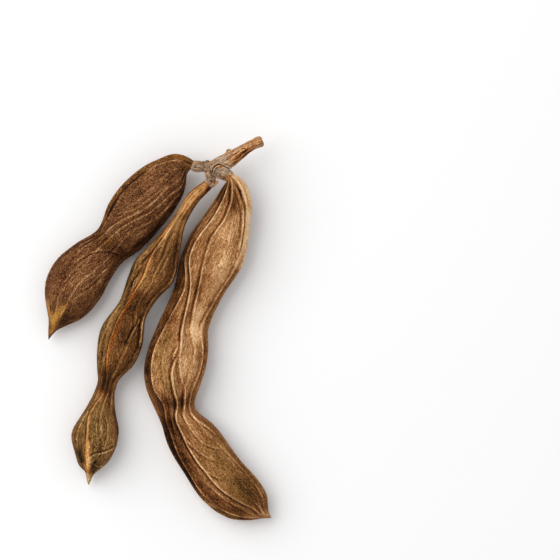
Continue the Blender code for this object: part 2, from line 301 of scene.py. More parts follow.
@dataclass(frozen=True)
class Vein(Trace):
    """A fine raised vein with a groove along one side, or a crack with lips along both.

    rise and width are in mm, and pale says how much lighter its crest is than the skin, a painted
    highlight; its groove is painted darker, as dirt and painted shade. Both rise and pale are below
    zero for a crack, whose middle is then painted darker, as dirt and painted shade.
    """

    rise: float = 0.22
    width: float = 0.27
    groove: GrooveSide = GrooveSide.WEST
    pale: float = 0.16

    def mark(self, places: np.ndarray) -> tuple[np.ndarray, np.ndarray]:
        """Work out the vein's height and its change of tone.

        Args:
            places: Points in plan.

        Returns:
            The height in mm and the change of tone, at every place.
        """
        rise = np.zeros(len(places))
        tone = np.zeros(len(places))
        near = self.near(places, VEIN_REACH * self.width)
        distance, share = self.measure(places[near])
        fade = np.clip(share / FADE_IN, 0, 1) * np.clip((1 - share) / FADE_OUT, 0, 1)
        crest = bell(distance, self.width) * fade
        offset = GROOVE_STEP * self.width
        if self.groove is GrooveSide.BOTH:
            dip = bell(np.abs(distance) - offset, self.width) * fade
            rise_share, tone_share = LIP_SHARE
        else:
            dip = bell(distance - self.groove.value * offset, self.width) * fade
            rise_share, tone_share = GROOVE_SHARE
        rise[near] = self.rise * (crest - rise_share * dip)
        # The crest gets a painted highlight, and the groove or a crack's middle dirt and painted shade.
        tone[near] = self.pale * (crest - tone_share * dip)
        return rise, tone


def crack(points: tuple[Plan, ...], depth: float, width: float, dark: float) -> Vein:
    """Draw a crack or a narrow crease.

    Args:
        points: Its points in plan, from the stalk towards the beak.
        depth: How deep it is, in mm.
        width: How wide it is, in mm.
        dark: How much darker than the skin it is, as dirt and painted shade.

    Returns:
        The crack, as a vein turned inwards.
    """
    return Vein(points, -depth, width, GrooveSide.BOTH, -dark)


@dataclass(frozen=True)
class StainAndShading(Trace):
    """A soft stroke of lighter, darker or more golden skin.

    reach is in mm, tone and gold are added to the skin's, and quiet is the share of the main
    veins that it flattens. Some strokes are stains, some paint shade on dark flanks, waists and
    sides, and some paint light on pale rims.
    """

    reach: float = 2.0
    tone: float = 0.0
    gold: float = 0.0
    quiet: float = 0.0

    def wash(self, places: np.ndarray) -> np.ndarray:
        """Work out how strongly the stroke shows.

        Args:
            places: Points in plan.

        Returns:
            The strength at every place, from 0 to 1.
        """
        strength = np.zeros(len(places))
        near = self.near(places, STROKE_REACH * self.reach)
        strength[near] = bell(self.measure(places[near])[0], self.reach)
        return strength


@dataclass(frozen=True)
class Lumps:
    """A noise pattern in space: lumps per mm along and round a piece, and its own shift."""

    along: float
    around: float
    shift: float = 0.0

    def read(self, spots: np.ndarray) -> np.ndarray:
        """Read the pattern at many spots.

        Args:
            spots: Rows of the distance along a piece and the two places round it, in mm.

        Returns:
            A number from -1 to 1 for each spot.
        """
        moved = ((x * self.along, y * self.around + self.shift, z * self.around) for x, y, z in spots)
        return np.array([noise.noise(Vector(spot)) for spot in moved])


FIBRES = Lumps(0.22, 1.3)
SCALES = Lumps(1.1, 1.9, 7.0)
SPLITS = Lumps(0.45, 1.7, 31.0)
RUST = Lumps(0.5, 1.5, 57.0)


@dataclass(frozen=True)
class Cut:
    """One cut across a pod, in mm; veins are shares of its width from the west edge."""

    west: Plan
    east: Plan
    height: float
    depth: float
    lean: float
    veins: tuple[float, ...]

    def row(self) -> list[float]:
        """Line the cut's numbers up.

        Returns:
            The cut as one row of numbers, for the curve through all the cuts.
        """
        return [*self.west, *self.east, self.height, self.depth, self.lean, *self.veins]

    def middle(self) -> list[float]:
        """Find the middle of the cut.

        Returns:
            The middle, in plan.
        """
        return [(self.west[0] + self.east[0]) / 2, (self.west[1] + self.east[1]) / 2]


class Sheet:
    """A material's node tree, with short calls that add and join nodes."""

    def __init__(self, tree: bpy.types.NodeTree) -> None:
        """Work on a node tree.

        Args:
            tree: The tree.
        """
        self.tree = tree

    def add(self, kind: str, **settings: object) -> bpy.types.Node:
        """Add a node.

        Args:
            kind: The node's type, without its ShaderNode prefix.
            **settings: Properties of the node.

        Returns:
            The new node.
        """
        node = self.tree.nodes.new(f"ShaderNode{kind}")
        for name, value in settings.items():
            setattr(node, name, value)
        return node

    def join(self, source: bpy.types.NodeSocket, target: bpy.types.NodeSocket) -> None:
        """Link one socket to another.

        Args:
            source: The socket that gives.
            target: The socket that takes.
        """
        self.tree.links.new(source, target)

    def attribute(self, name: str) -> bpy.types.Node:
        """Read one of the mesh's own attributes.

        Args:
            name: The attribute's name.

        Returns:
            The node.
        """
        return self.add("Attribute", attribute_type="GEOMETRY", attribute_name=name)

    def sum(self, kind: str, first: object, second: object) -> bpy.types.NodeSocket:
        """Do one step of arithmetic.

        Args:
            kind: The Math node's operation.
            first: A socket or a number.
            second: A socket or a number.

        Returns:
            The socket with the answer.
        """
        node = self.add("Math", operation=kind)
        for socket, value in zip(node.inputs, (first, second)):
            if isinstance(value, bpy.types.NodeSocket):
                self.join(value, socket)
            else:
                socket.default_value = value
        return node.outputs[0]

    def noise(
        self, vector: bpy.types.NodeSocket, scale: Place, detail: float, roughness: float
    ) -> bpy.types.NodeSocket:
        """Make a noise pattern, stretched by its scale along each axis.

        Args:
            vector: The coordinates, in mm.
            scale: Lumps per mm along each axis.
            detail: Octaves of finer noise.
            roughness: How strong the finer octaves are.

        Returns:
            The socket with the pattern, about 0.5 on average.
        """
        stretch = self.add("Mapping", vector_type="POINT")
        stretch.inputs["Scale"].default_value = scale
        self.join(vector, stretch.inputs["Vector"])
        pattern = self.add("TexNoise", noise_dimensions="3D")
        pattern.inputs["Scale"].default_value = 1.0
        pattern.inputs["Detail"].default_value = detail
        pattern.inputs["Roughness"].default_value = roughness
        self.join(stretch.outputs["Vector"], pattern.inputs["Vector"])
        return pattern.outputs["Fac"]


# The grain's patterns: the name of the input that gives each its strength, its lumps per mm
# along and round the piece, its octaves, and how strong the finer octaves are.
GRAIN_PATTERNS = (
    ("Streaks", (0.45, 2.8, 2.8), 2.0, 0.6),
    ("Specks", (2.0, 4.5, 4.5), 1.0, 0.6),
    ("Blotches", (0.12, 0.22, 0.22), 2.0, 0.5),
)


def grain_group() -> bpy.types.NodeTree:
    """Build the node group for short hairs or fibres that lie along a surface, once.

    Its vector runs along the surface in mm on X and round it on Y and Z.

    Returns:
        The group, which puts out a tone, about 0 on average, and a height from 0 to 1.
    """
    name = "lying_fibres"
    if name in bpy.data.node_groups:
        return bpy.data.node_groups[name]
    tree = bpy.data.node_groups.new(name, "ShaderNodeTree")
    tree.interface.new_socket("Grain", in_out="INPUT", socket_type="NodeSocketVector")
    for label, *_ in GRAIN_PATTERNS:
        tree.interface.new_socket(label, in_out="INPUT", socket_type="NodeSocketFloat")
    tree.interface.new_socket("Tone", in_out="OUTPUT", socket_type="NodeSocketFloat")
    tree.interface.new_socket("Height", in_out="OUTPUT", socket_type="NodeSocketFloat")
    sheet = Sheet(tree)
    enter = tree.nodes.new("NodeGroupInput")
    leave = tree.nodes.new("NodeGroupOutput")
    tone = 0.0
    patterns = []
    for label, scale, detail, roughness in GRAIN_PATTERNS:
        pattern = sheet.noise(enter.outputs["Grain"], scale, detail, roughness)
        patterns.append(pattern)
        change = sheet.sum("MULTIPLY", sheet.sum("SUBTRACT", pattern, 0.5), enter.outputs[label])
        tone = sheet.sum("ADD", change, tone)
    sheet.join(tone, leave.inputs["Tone"])
    height = sheet.sum("MULTIPLY", sheet.sum("ADD", patterns[0], patterns[1]), 0.5)
    sheet.join(height, leave.inputs["Height"])
    return tree


@dataclass(frozen=True)
class SkinFinish:
    """The look of one piece's skin: its colours from the darkest tone to the palest.

    golds are the same for skin that is stained golden, and olives for skin whose gold is
    below zero. streaks, specks and blotches say how far the grain shifts the tone, bump is
    the strength of the grain's relief, and hair_height is its height in mm.
    """

    name: str
    slot: str
    tones: tuple[Colour, ...]
    golds: tuple[Colour, ...]
    olives: tuple[Colour, ...] = ()
    roughness: float = 0.82
    sheen: float = 0.03
    sheen_roughness: float = 0.45
    sheen_tint: Colour = (214, 176, 128)
    specular: float = 0.08
    streaks: float = 0.8
    specks: float = 1.5
    blotches: float = 0.35
    bump: float = 1.0
    hair_height: float = 0.12

    def material(self) -> bpy.types.Material:
        """Build the finish as a material.

        Returns:
            A material that reads the tone, gold and grain attributes of its mesh.
        """
        material = bpy.data.materials.new(self.name)
        material.use_nodes = True
        sheet = Sheet(material.node_tree)
        shader = material.node_tree.nodes["Principled BSDF"]
        grain = sheet.attribute("grain").outputs["Vector"]
        hair = sheet.add("Group")
        hair.node_tree = grain_group()
        hair.inputs["Streaks"].default_value = self.streaks
        hair.inputs["Specks"].default_value = self.specks
        hair.inputs["Blotches"].default_value = self.blotches
        sheet.join(grain, hair.inputs["Grain"])
        tone = sheet.sum("ADD", sheet.attribute("tone").outputs["Fac"], hair.outputs["Tone"])
        gold = sheet.attribute("gold").outputs["Fac"]
        colour = self.tone_ramp(sheet, tone, self.tones)
        olive = sheet.sum("MULTIPLY", gold, -1.0)
        for colours, share in ((self.golds, gold), (self.olives, olive)):
            if colours:
                mix = sheet.add("Mix", data_type="RGBA", blend_type="MIX")
                sheet.join(share, mix.inputs[MIX_SHARE])
                sheet.join(colour, mix.inputs[MIX_FIRST])
                sheet.join(self.tone_ramp(sheet, tone, colours), mix.inputs[MIX_SECOND])
                colour = mix.outputs[MIX_RESULT]
        sheet.join(colour, shader.inputs["Base Color"])
        self.roughen(sheet, shader, hair)
        return material

    def tone_ramp(
        self, sheet: Sheet, tone: bpy.types.NodeSocket, colours: tuple[Colour, ...]
    ) -> bpy.types.NodeSocket:
        """Add the ramp that turns a tone into a colour.

        Args:
            sheet: The material's nodes.
            tone: The socket with the tone, from 0 to 1.
            colours: The colours in even steps, darkest first.

        Returns:
            The socket with the colour.
        """
        ramp = sheet.add("ValToRGB")
        steps = ramp.color_ramp.elements
        while len(steps) < len(colours):
            steps.new(0.5)
        for index, colour in enumerate(colours):
            steps[index].position = index / (len(colours) - 1)
            steps[index].color = linear(colour)
        sheet.join(tone, ramp.inputs["Fac"])
        return ramp.outputs["Color"]

    def roughen(self, sheet: Sheet, shader: bpy.types.Node, hair: bpy.types.Node) -> None:
        """Give the shader its roughness, sheen and the relief of its hair.

        Args:
            sheet: The material's nodes.
            shader: The Principled shader.
            hair: The node of the hair group.
        """
        spread = sheet.add("MapRange")
        spread.inputs["To Min"].default_value = self.roughness - SMOOTHER
        spread.inputs["To Max"].default_value = min(1.0, self.roughness + ROUGHER)
        sheet.join(hair.outputs["Height"], spread.inputs["Value"])
        sheet.join(spread.outputs["Result"], shader.inputs["Roughness"])
        shader.inputs["Metallic"].default_value = 0.0
        shader.inputs["Specular IOR Level"].default_value = self.specular
        shader.inputs["Sheen Weight"].default_value = self.sheen
        shader.inputs["Sheen Roughness"].default_value = self.sheen_roughness
        shader.inputs["Sheen Tint"].default_value = linear(self.sheen_tint)
        bump = sheet.add("Bump")
        bump.inputs["Strength"].default_value = self.bump
        bump.inputs["Distance"].default_value = self.hair_height * MM
        sheet.join(hair.outputs["Height"], bump.inputs["Height"])
        sheet.join(bump.outputs["Normal"], shader.inputs["Normal"])


def read_rows(items: bpy.types.bpy_prop_collection, name: str) -> np.ndarray:
    """Read a vector of every item of a mesh.

    Args:
        items: The mesh's points or normals.
        name: The property to read.

    Returns:
        One row of three numbers for each item.
    """
    numbers = np.empty(len(items) * 3)
    items.foreach_get(name, numbers)
    return numbers.reshape(-1, 3)


def new_ball(name: str, columns: int, rings: int) -> bpy.types.Object:
    """Add the ball that a piece is shaped from, alone in the selection.

    Args:
        name: The piece's name.
        columns: Faces round the ball.
        rings: Faces from pole to pole.

    Returns:
        The ball, of radius 1 at the origin.
    """
    bpy.ops.object.select_all(action="DESELECT")
    bpy.ops.mesh.primitive_uv_sphere_add(segments=columns, ring_count=rings, radius=1.0)
    piece = bpy.context.object
    piece.name = name
    piece.data.name = name
    return piece


def ball_places(piece: bpy.types.Object, columns: int, rings: int) -> tuple[np.ndarray, np.ndarray]:
    """Find which ring and column each point of a ball stands on.

    Args:
        piece: The ball.
        columns: Faces round the ball.
        rings: Faces from pole to pole.

    Returns:
        The ring of each point, 0 at the top pole, and its column.
    """
    points = read_rows(piece.data.vertices, "co")
    polar = np.arccos(np.clip(points[:, 2], -1.0, 1.0))
    turn = np.arctan2(points[:, 1], points[:, 0]) % (2 * math.pi)
    ring = np.rint(polar / math.pi * rings).astype(int)
    column = np.rint(turn / (2 * math.pi) * columns).astype(int) % columns
    return ring, column


def face_outwards(piece: bpy.types.Object) -> None:
    """Turn every face of a closed piece outwards and shade it smooth.

    Args:
        piece: The piece.
    """
    bpy.ops.object.select_all(action="DESELECT")
    piece.select_set(True)
    bpy.context.view_layer.objects.active = piece
    bpy.ops.object.mode_set(mode="EDIT")
    bpy.ops.mesh.select_all(action="SELECT")
    bpy.ops.mesh.normals_make_consistent(inside=False)
    bpy.ops.object.mode_set(mode="OBJECT")
    bpy.ops.object.shade_smooth()


def store(piece: bpy.types.Object, name: str, values: np.ndarray) -> None:
    """Keep a number or a vector at every point of a piece, for its material.

    Args:
        piece: The piece.
        name: The attribute's name.
        values: One number, or three, for each point.
    """
    if values.ndim == 1:
        layer = piece.data.attributes.new(name, "FLOAT", "POINT")
        layer.data.foreach_set("value", values.astype(np.float32))
    else:
        layer = piece.data.attributes.new(name, "FLOAT_VECTOR", "POINT")
        layer.data.foreach_set("vector", values.astype(np.float32).ravel())


@dataclass(frozen=True)
class Fuzz:
    """The short stiff hairs on a pod, which lie along the skin and point to the beak.

    Sizes are in mm. sway is how far a hair leans to either side and lift how far it stands up,
    as shares of its length; lifts and lengths are how much both vary. bare is the height below
    which the skin has no hair, and clearance keeps the tips off the floor. pale and spread
    shift the hairs' tone and scatter it.
    """

    rows: int = 170
    columns: int = 160
    length: float = 0.60
    width: float = 0.050
    tip_share: float = 0.2
    sway: float = 0.35
    lift: float = 0.16
    lifts: tuple[float, float] = (0.2, 1.4)
    lengths: tuple[float, float] = (0.6, 1.25)
    bare: float = 0.3
    clearance: float = 0.02
    pale: float = 0.02
    spread: float = 0.26

    def strip(self, name: str) -> bpy.types.Object:
        """Lay out the hairs as one flat sheet of faces, cut apart in edit mode.

        Args:
            name: The piece's name.

        Returns:
            The sheet, with one loose face for each hair.
        """
        bpy.ops.object.select_all(action="DESELECT")
        bpy.ops.mesh.primitive_grid_add(
            x_subdivisions=self.columns, y_subdivisions=self.rows, size=1.0
        )
        piece = bpy.context.object
        piece.name = name
        piece.data.name = name
        bpy.ops.object.mode_set(mode="EDIT")
        bpy.ops.mesh.select_all(action="SELECT")
        bpy.ops.mesh.edge_split(type="EDGE")
        bpy.ops.object.mode_set(mode="OBJECT")
        return piece

    def grow(self, name: str, skin: dict[str, np.ndarray], seed: float) -> bpy.types.Object:
        """Plant the hairs on a pod's skin.

        Args:
            name: The piece's name.
            skin: The place, tone, gold and grain of every ring and column.
            seed: The number that the scatter starts from.

        Returns:
            The hairs, as one piece.
        """
        piece = self.strip(name)
        count = len(piece.data.polygons)
        chance = np.random.default_rng(round(10 * seed))
        places = skin["place"] / MM
        ahead = np.diff(places, axis=0)
        beside = np.roll(places, -1, axis=1)[:-1] - places[:-1]
        out = np.cross(beside, ahead)
        area = np.linalg.norm(out, axis=2)
        weight = np.where(places[:-1, :, 2] > self.bare, area, 0.0).ravel()
        cell = chance.choice(len(weight), size=count, p=weight / weight.sum())
        ring, column = np.divmod(cell, places.shape[1])
        ahead, beside, out = ahead[ring, column], beside[ring, column], out[ring, column]
        root = places[ring, column] + chance.random((count, 1)) * ahead
        root = root + chance.random((count, 1)) * beside
        ahead /= np.linalg.norm(ahead, axis=1)[:, None]
        beside /= np.linalg.norm(beside, axis=1)[:, None]
        out /= np.linalg.norm(out, axis=1)[:, None]
        lean = self.sway * chance.uniform(-1, 1, (count, 1))
        rise = self.lift * chance.uniform(*self.lifts, (count, 1))
        reach = self.length * chance.uniform(*self.lengths, (count, 1))
        tip = root + reach * (ahead + lean * beside + rise * out)
        side = self.width / 2 * beside
        point = self.tip_share * side
        corners = np.stack((root - side, root + side, tip + point, tip - point), axis=1)
        corners[:, :, 2] = np.maximum(corners[:, :, 2], self.clearance)
        order = np.empty(4 * count, dtype=int)
        piece.data.polygons.foreach_get("vertices", order)
        spots = np.empty((len(piece.data.vertices), 3))
        spots[order] = corners.reshape(-1, 3) * MM
        piece.data.vertices.foreach_set("co", spots.ravel())
        hue = chance.uniform(-1, 1, count)
        values = {kind: skin[kind][ring, column] for kind in ("tone", "gold", "grain")}
        values["tone"] = values["tone"] + self.pale + self.spread * hue
        for kind, numbers in values.items():
            each = np.empty((len(piece.data.vertices), *numbers.shape[1:]))
            each[order] = np.repeat(numbers, 4, axis=0)
            store(piece, kind, each)
        bpy.ops.object.shade_smooth()
        return piece


@dataclass
class Pod:
    """One pod's fine skin.

    cuts, tip, seam and veins repeat the solid's; lines are the fine veins and stains_and_shading the
    soft strokes that lie between them, which are stains, painted shade and painted light. base is the
    tone of plain skin, from 0 to 1, and crest_highlight, groove_dirt_and_shade and edge_shade are how
    far the main veins and the edges shift it: the crests get a painted highlight, the grooves dirt and
    painted shade, and the edges painted shade.
    under_share is how much of what is drawn on top shows below, and steep_fade how quickly
    the fine relief grows from the edges inwards. Sizes are in mm.
    """

    name: str
    cuts: tuple[Cut, ...]
    tip: Place
    seam: float
    veins: tuple[float, ...]
    lines: tuple[Vein, ...]
    stains_and_shading: tuple[StainAndShading, ...]
    finish: SkinFinish
    base: float
    seed: float
    columns: int = 230
    ring_pitch: float = 0.30
    fold_rise: float = 0.12
    vein_share: float = 0.7
    crest_highlight: float = 0.20
    groove_dirt_and_shade: float = 0.24
    # Painted shade that darkens the pod's sides.
    edge_shade: float = 0.12
    under_share: float = 0.35
    steep_fade: float = 1.5
    fuzz: Fuzz = Fuzz()
    curve: Curve = field(init=False)

    def __post_init__(self) -> None:
        """Draw the curve through the cuts."""
        self.curve = Curve([cut.row() for cut in self.cuts], [cut.middle() for cut in self.cuts])

    def stops(self) -> np.ndarray:
        """Space the rings, closer together near both ends.

        Returns:
            Each ring's distance from the stalk.
        """
        count = round(self.curve.length() / self.ring_pitch)
        share = np.linspace(0.0, 1.0, count)
        crowd = END_CROWDING * np.sin(2 * math.pi * share) / (2 * math.pi)
        return self.curve.length() * (share - crowd)

    def line_angles(self, veins: np.ndarray) -> np.ndarray:
        """Find where the raised lines stand round each ring.

        Args:
            veins: Each ring's four veins, as shares of its width.

        Returns:
            Ten angles a ring, from 0 at the east edge, through pi at the west one.
        """
        top = np.arccos(2 * veins[:, ::-1] - 1)
        top = np.concatenate((np.zeros((len(veins), 1)), top), axis=1)
        return np.concatenate((top, math.pi + top), axis=1)

    def column_angles(self, lines: np.ndarray) -> np.ndarray:
        """Turn the columns at each ring, so that they follow the lines.

        Args:
            lines: The angles of the raised lines at each ring.

        Returns:
            An angle for each ring and column.
        """
        whole = np.concatenate((lines, np.full((len(lines), 1), 2 * math.pi)), axis=1)
        even = np.linspace(0.0, 1.0, whole.shape[1])
        typical = whole.mean(axis=0) / (2 * math.pi)
        knots = EVEN_SHARE * even + (1 - EVEN_SHARE) * typical
        shares = np.arange(self.columns) / self.columns
        panel = np.clip(np.searchsorted(knots, shares, side="right") - 1, 0, len(knots) - 2)
        within = (shares - knots[panel]) / (knots[panel + 1] - knots[panel])
        return whole[:, panel] * (1 - within) + whole[:, panel + 1] * within

    def broad_relief(
        self, angles: np.ndarray, lines: np.ndarray, radius: np.ndarray
    ) -> tuple[np.ndarray, np.ndarray]:
        """Raise the seams and the four main veins of each face.

        Args:
            angles: The angle of each column at each ring.
            lines: The angles of the raised lines at each ring.
            radius: How far round the surface one radian goes, in mm.

        Returns:
            The height in mm and the change of tone, at each ring and column.
        """
        rise = np.zeros_like(angles)
        tone = np.zeros_like(angles)
        boldness = 2 * [self.seam, *reversed(self.veins)]
        for index, bold in enumerate(boldness):
            turn = (angles - lines[:, index:index + 1] + math.pi) % (2 * math.pi) - math.pi
            distance = turn * radius
            is_seam = index % (len(boldness) // 2) == 0
            away = np.abs(distance) / SEAM_WIDTH if is_seam else distance / VEIN_WIDTH
            crest, dip = bell(away, 1.0), bell(away - GROOVE_OFFSET, 1.0)
            if is_seam:
                pale, dark = SEAM_TONE * self.crest_highlight, SEAM_TONE * self.groove_dirt_and_shade
                rise += bold * (SEAM_RISE * crest - GROOVE_DEPTH * dip)
                # The seam's crest is painted paler as a painted highlight, and its groove darker as dirt
                # and painted shade.
                tone += bold * (pale * crest - dark * dip)
            else:
                line = bell(distance, LINE_REACH)
                crease = bell(distance - CREASE_OFFSET, CREASE_REACH)
                rise += bold * self.vein_share * (VEIN_RISE * crest - GROOVE_DEPTH * dip)
                rise += bold * (LINE_RISE * line - CREASE_DEPTH * crease)
                # The vein's sharp line is painted paler as a painted highlight, and its crease darker as
                # dirt and painted shade.
                tone += bold * (self.crest_highlight * line - self.groove_dirt_and_shade * crease)
        return rise, tone

    def folds(self, along: np.ndarray, angles: np.ndarray) -> np.ndarray:
        """Raise the fine folds that run along dried skin.

        Args:
            along: Each ring's distance from the stalk.
            angles: The angle of each column at each ring.

        Returns:
            A height from -1 to 1 at each ring and column.
        """
        heights = np.empty_like(angles)
        for ring, distance in enumerate(along):
            for column, angle in enumerate(angles[ring]):
                y, z = FOLD_TURNS * math.cos(angle), FOLD_TURNS * math.sin(angle) + self.seed
                spot = Vector((distance * FOLD_PITCH, y, z))
                closer = Vector((distance * FINE_PITCH, spot.y * FINE_TIMES, spot.z * FINE_TIMES))
                ridge = 1 - FOLD_SHARPNESS * abs(noise.noise(spot))
                heights[ring, column] = FOLD_SHARE * ridge + (1 - FOLD_SHARE) * noise.noise(closer)
        return heights

    def draw(self, places: np.ndarray, seen: np.ndarray) -> tuple[np.ndarray, ...]:
        """Draw the fine veins and the strokes.

        Args:
            places: Every point of the skin, in plan.
            seen: How much of the drawing shows at each point.

        Returns:
            The height in mm, tone, gold and quiet of every point.
        """
        rise = np.zeros(len(places))
        tone = np.full(len(places), self.base)
        gold = np.zeros(len(places))
        quiet = np.zeros(len(places))
        for line in self.lines:
            line_rise, line_tone = line.mark(places)
            rise += line_rise
            tone += line_tone * seen
        # The strokes are stains, painted shade and painted light.
        for tone_stroke in self.stains_and_shading:
            wash = tone_stroke.wash(places) * seen
            tone += tone_stroke.tone * wash
            gold += tone_stroke.gold * wash
            quiet += tone_stroke.quiet * wash
        return rise, tone, gold, quiet

    def skin(self) -> dict[str, np.ndarray]:
        """Work out the fine skin.

        Returns:
            The place, tone, gold and grain of every ring and column.
        """
        along = self.stops()
        rows = self.curve.read(along)
        west, east = rows[:, 0:2], rows[:, 2:4]
        height, depth, lean = rows[:, 4:5], rows[:, 5:6], rows[:, 6:7]
        strength = np.minimum(1.0, depth / FULL_RELIEF_DEPTH) ** 2
        width = np.linalg.norm(east - west, axis=1)[:, None]
        across = (east - west) / width
        half = width / 2 - SEAM_RISE * strength * self.seam
        lines = self.line_angles(rows[:, 7:])
        angles = self.column_angles(lines)
        c, s = np.cos(angles), np.sin(angles)
        rise, tone = self.broad_relief(angles, lines, np.hypot(half * s, depth * c))

        middle = (west + east) / 2
        face = np.where(s >= 0, c, -c) * half
        plan = middle[:, None, :] + across[:, None, :] * face[:, :, None]
        seen = 1 - (1 - self.under_share) * np.clip(-UNDER_STEEPNESS * s, 0.0, 1.0).ravel()
        drawn = self.draw(plan.reshape(-1, 2), seen)
        extra, shade, gold, quiet = (numbers.reshape(angles.shape) for numbers in drawn)
        loud = 1.0 - np.clip(quiet, 0.0, 1.0)
        rise, tone = rise * loud, tone * loud
        fold = self.folds(along, angles)
        extra = extra + self.fold_rise * fold
        rise = strength * (rise + np.minimum(1.0, self.steep_fade * np.abs(s)) * extra)

        facing = np.hypot(c / half, s / depth)
        out = half * c + rise * c / half / facing
        up = np.sign(s) * depth * np.abs(s) ** OVAL_POWER + rise * s / depth / facing
        spots = np.empty((*angles.shape, 3))
        spots[:, :, 0:2] = middle[:, None, :] + across[:, None, :] * out[:, :, None] - CLUSTER_MIDDLE
        spots[:, :, 2] = np.maximum(0.0, height + lean * c + up)
        ahead = np.broadcast_to(along[:, None], angles.shape)
        shade = shade + strength * tone + FOLD_TONE * fold
        return {
            "place": spots * MM,
            # The tone darkens towards the pod's sides by edge_shade: painted shade.
            "tone": np.minimum(PALEST_TONE, shade - self.edge_shade * (1 - np.abs(s)) ** 2),
            "gold": np.clip(gold, -1.0, 1.0),
            "grain": np.stack((ahead, GRAIN_RADIUS * c, GRAIN_RADIUS * s), axis=2) + self.seed,
        }

    def build(self) -> list[bpy.types.Object]:
        """Build the pod and its hairs.

        Returns:
            The skin and the hairs, with their finish.
        """
        skin = self.skin()
        pieces = [self.wrap(skin), self.fuzz.grow(f"{self.name}_hair", skin, self.seed)]
        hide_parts(self.name)
        finish = self.finish.material()
        for piece in pieces:
            piece.data.materials.clear()
            piece.data.materials.append(finish)
            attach(piece, BODY)
            LOG.info("%s: %d faces", piece.name, len(piece.data.polygons))
        return pieces

    def wrap(self, skin: dict[str, np.ndarray]) -> bpy.types.Object:
        """Shape a ball into the pod.

        Args:
            skin: The place, tone, gold and grain of every ring and column.

        Returns:
            The pod's skin.
        """
        rings = len(skin["tone"]) + 2
        piece = new_ball(f"{self.name}_skin", self.columns, rings)
        ring, column = ball_places(piece, self.columns, rings)
        row = np.clip(ring - 2, 0, len(skin["tone"]) - 1)
        values = {name: grid[row, column] for name, grid in skin.items()}
        start = skin["place"][0].mean(axis=0)
        places = values.pop("place")
        places[ring == 1] = start + CLOSING_SHARE * (places[ring == 1] - start)
        places[ring == 0] = start
        tip = np.array(self.tip) - np.array((*CLUSTER_MIDDLE, 0.0))
        places[ring == rings] = tip * MM
        piece.data.vertices.foreach_set("co", places.ravel())
        for name, numbers in values.items():
            store(piece, name, numbers)
        face_outwards(piece)
        return piece


@dataclass(frozen=True)
class Limb:
    """One arm of the stalk: the points (x, y, z, radius) that its middle runs through."""

    points: tuple[Station, ...]

    def stations(self, pitch: float) -> np.ndarray:
        """Read the limb at even steps.

        Args:
            pitch: The distance between steps.

        Returns:
            For each step its place, radius, distance from the start, and the directions
            beside and above the limb, as rows of eleven numbers.
        """
        curve = Curve(self.points, [point[:3] for point in self.points])
        along = np.linspace(0.0, curve.length(), max(LEAST_STEPS, round(curve.length() / pitch)))
        rows = curve.read(along)
        heading = np.gradient(rows[:, :3], along, axis=0)
        heading /= np.linalg.norm(heading, axis=1)[:, None]
        beside = np.cross(heading, (0.0, 0.0, 1.0))
        beside /= np.linalg.norm(beside, axis=1)[:, None]
        above = np.cross(beside, heading)
        return np.concatenate((rows, along[:, None], beside, above), axis=1)


@dataclass(frozen=True)
class Knob:
    """A small lump on the stalk: its place, its three half sizes, and its turn in plan."""

    place: Place
    reach: Place
    turn: float = 0.0


@dataclass(frozen=True)
class RingScar:
    """A ring of bark round a limb, where something once sat.

    limb is the limb's place in the stalk's list and along is in mm from its start.
    """

    limb: int
    along: float
    rise: float
    width: float
    pale: float

    def show(self, owner: np.ndarray, along: np.ndarray, angle: np.ndarray, waver: float) -> np.ndarray:
        """Work out how strongly the scar shows, which fades in places.

        Args:
            owner: Each point's limb.
            along: Each point's distance along it.
            angle: Each point's angle round it.
            waver: How far the scar strays from a true ring, in mm.

        Returns:
            The strength at every point, from 0 to 1.
        """
        stray = sum(
            high * np.sin(turns * angle + shift * self.along) for turns, shift, high in SCAR_WAVES
        )
        turns, shift, strength, swing = SCAR_FADE
        faint = strength + swing * np.sin(turns * angle + shift * self.along)
        return faint * bell(along - self.along - waver * stray, self.width) * (owner == self.limb)


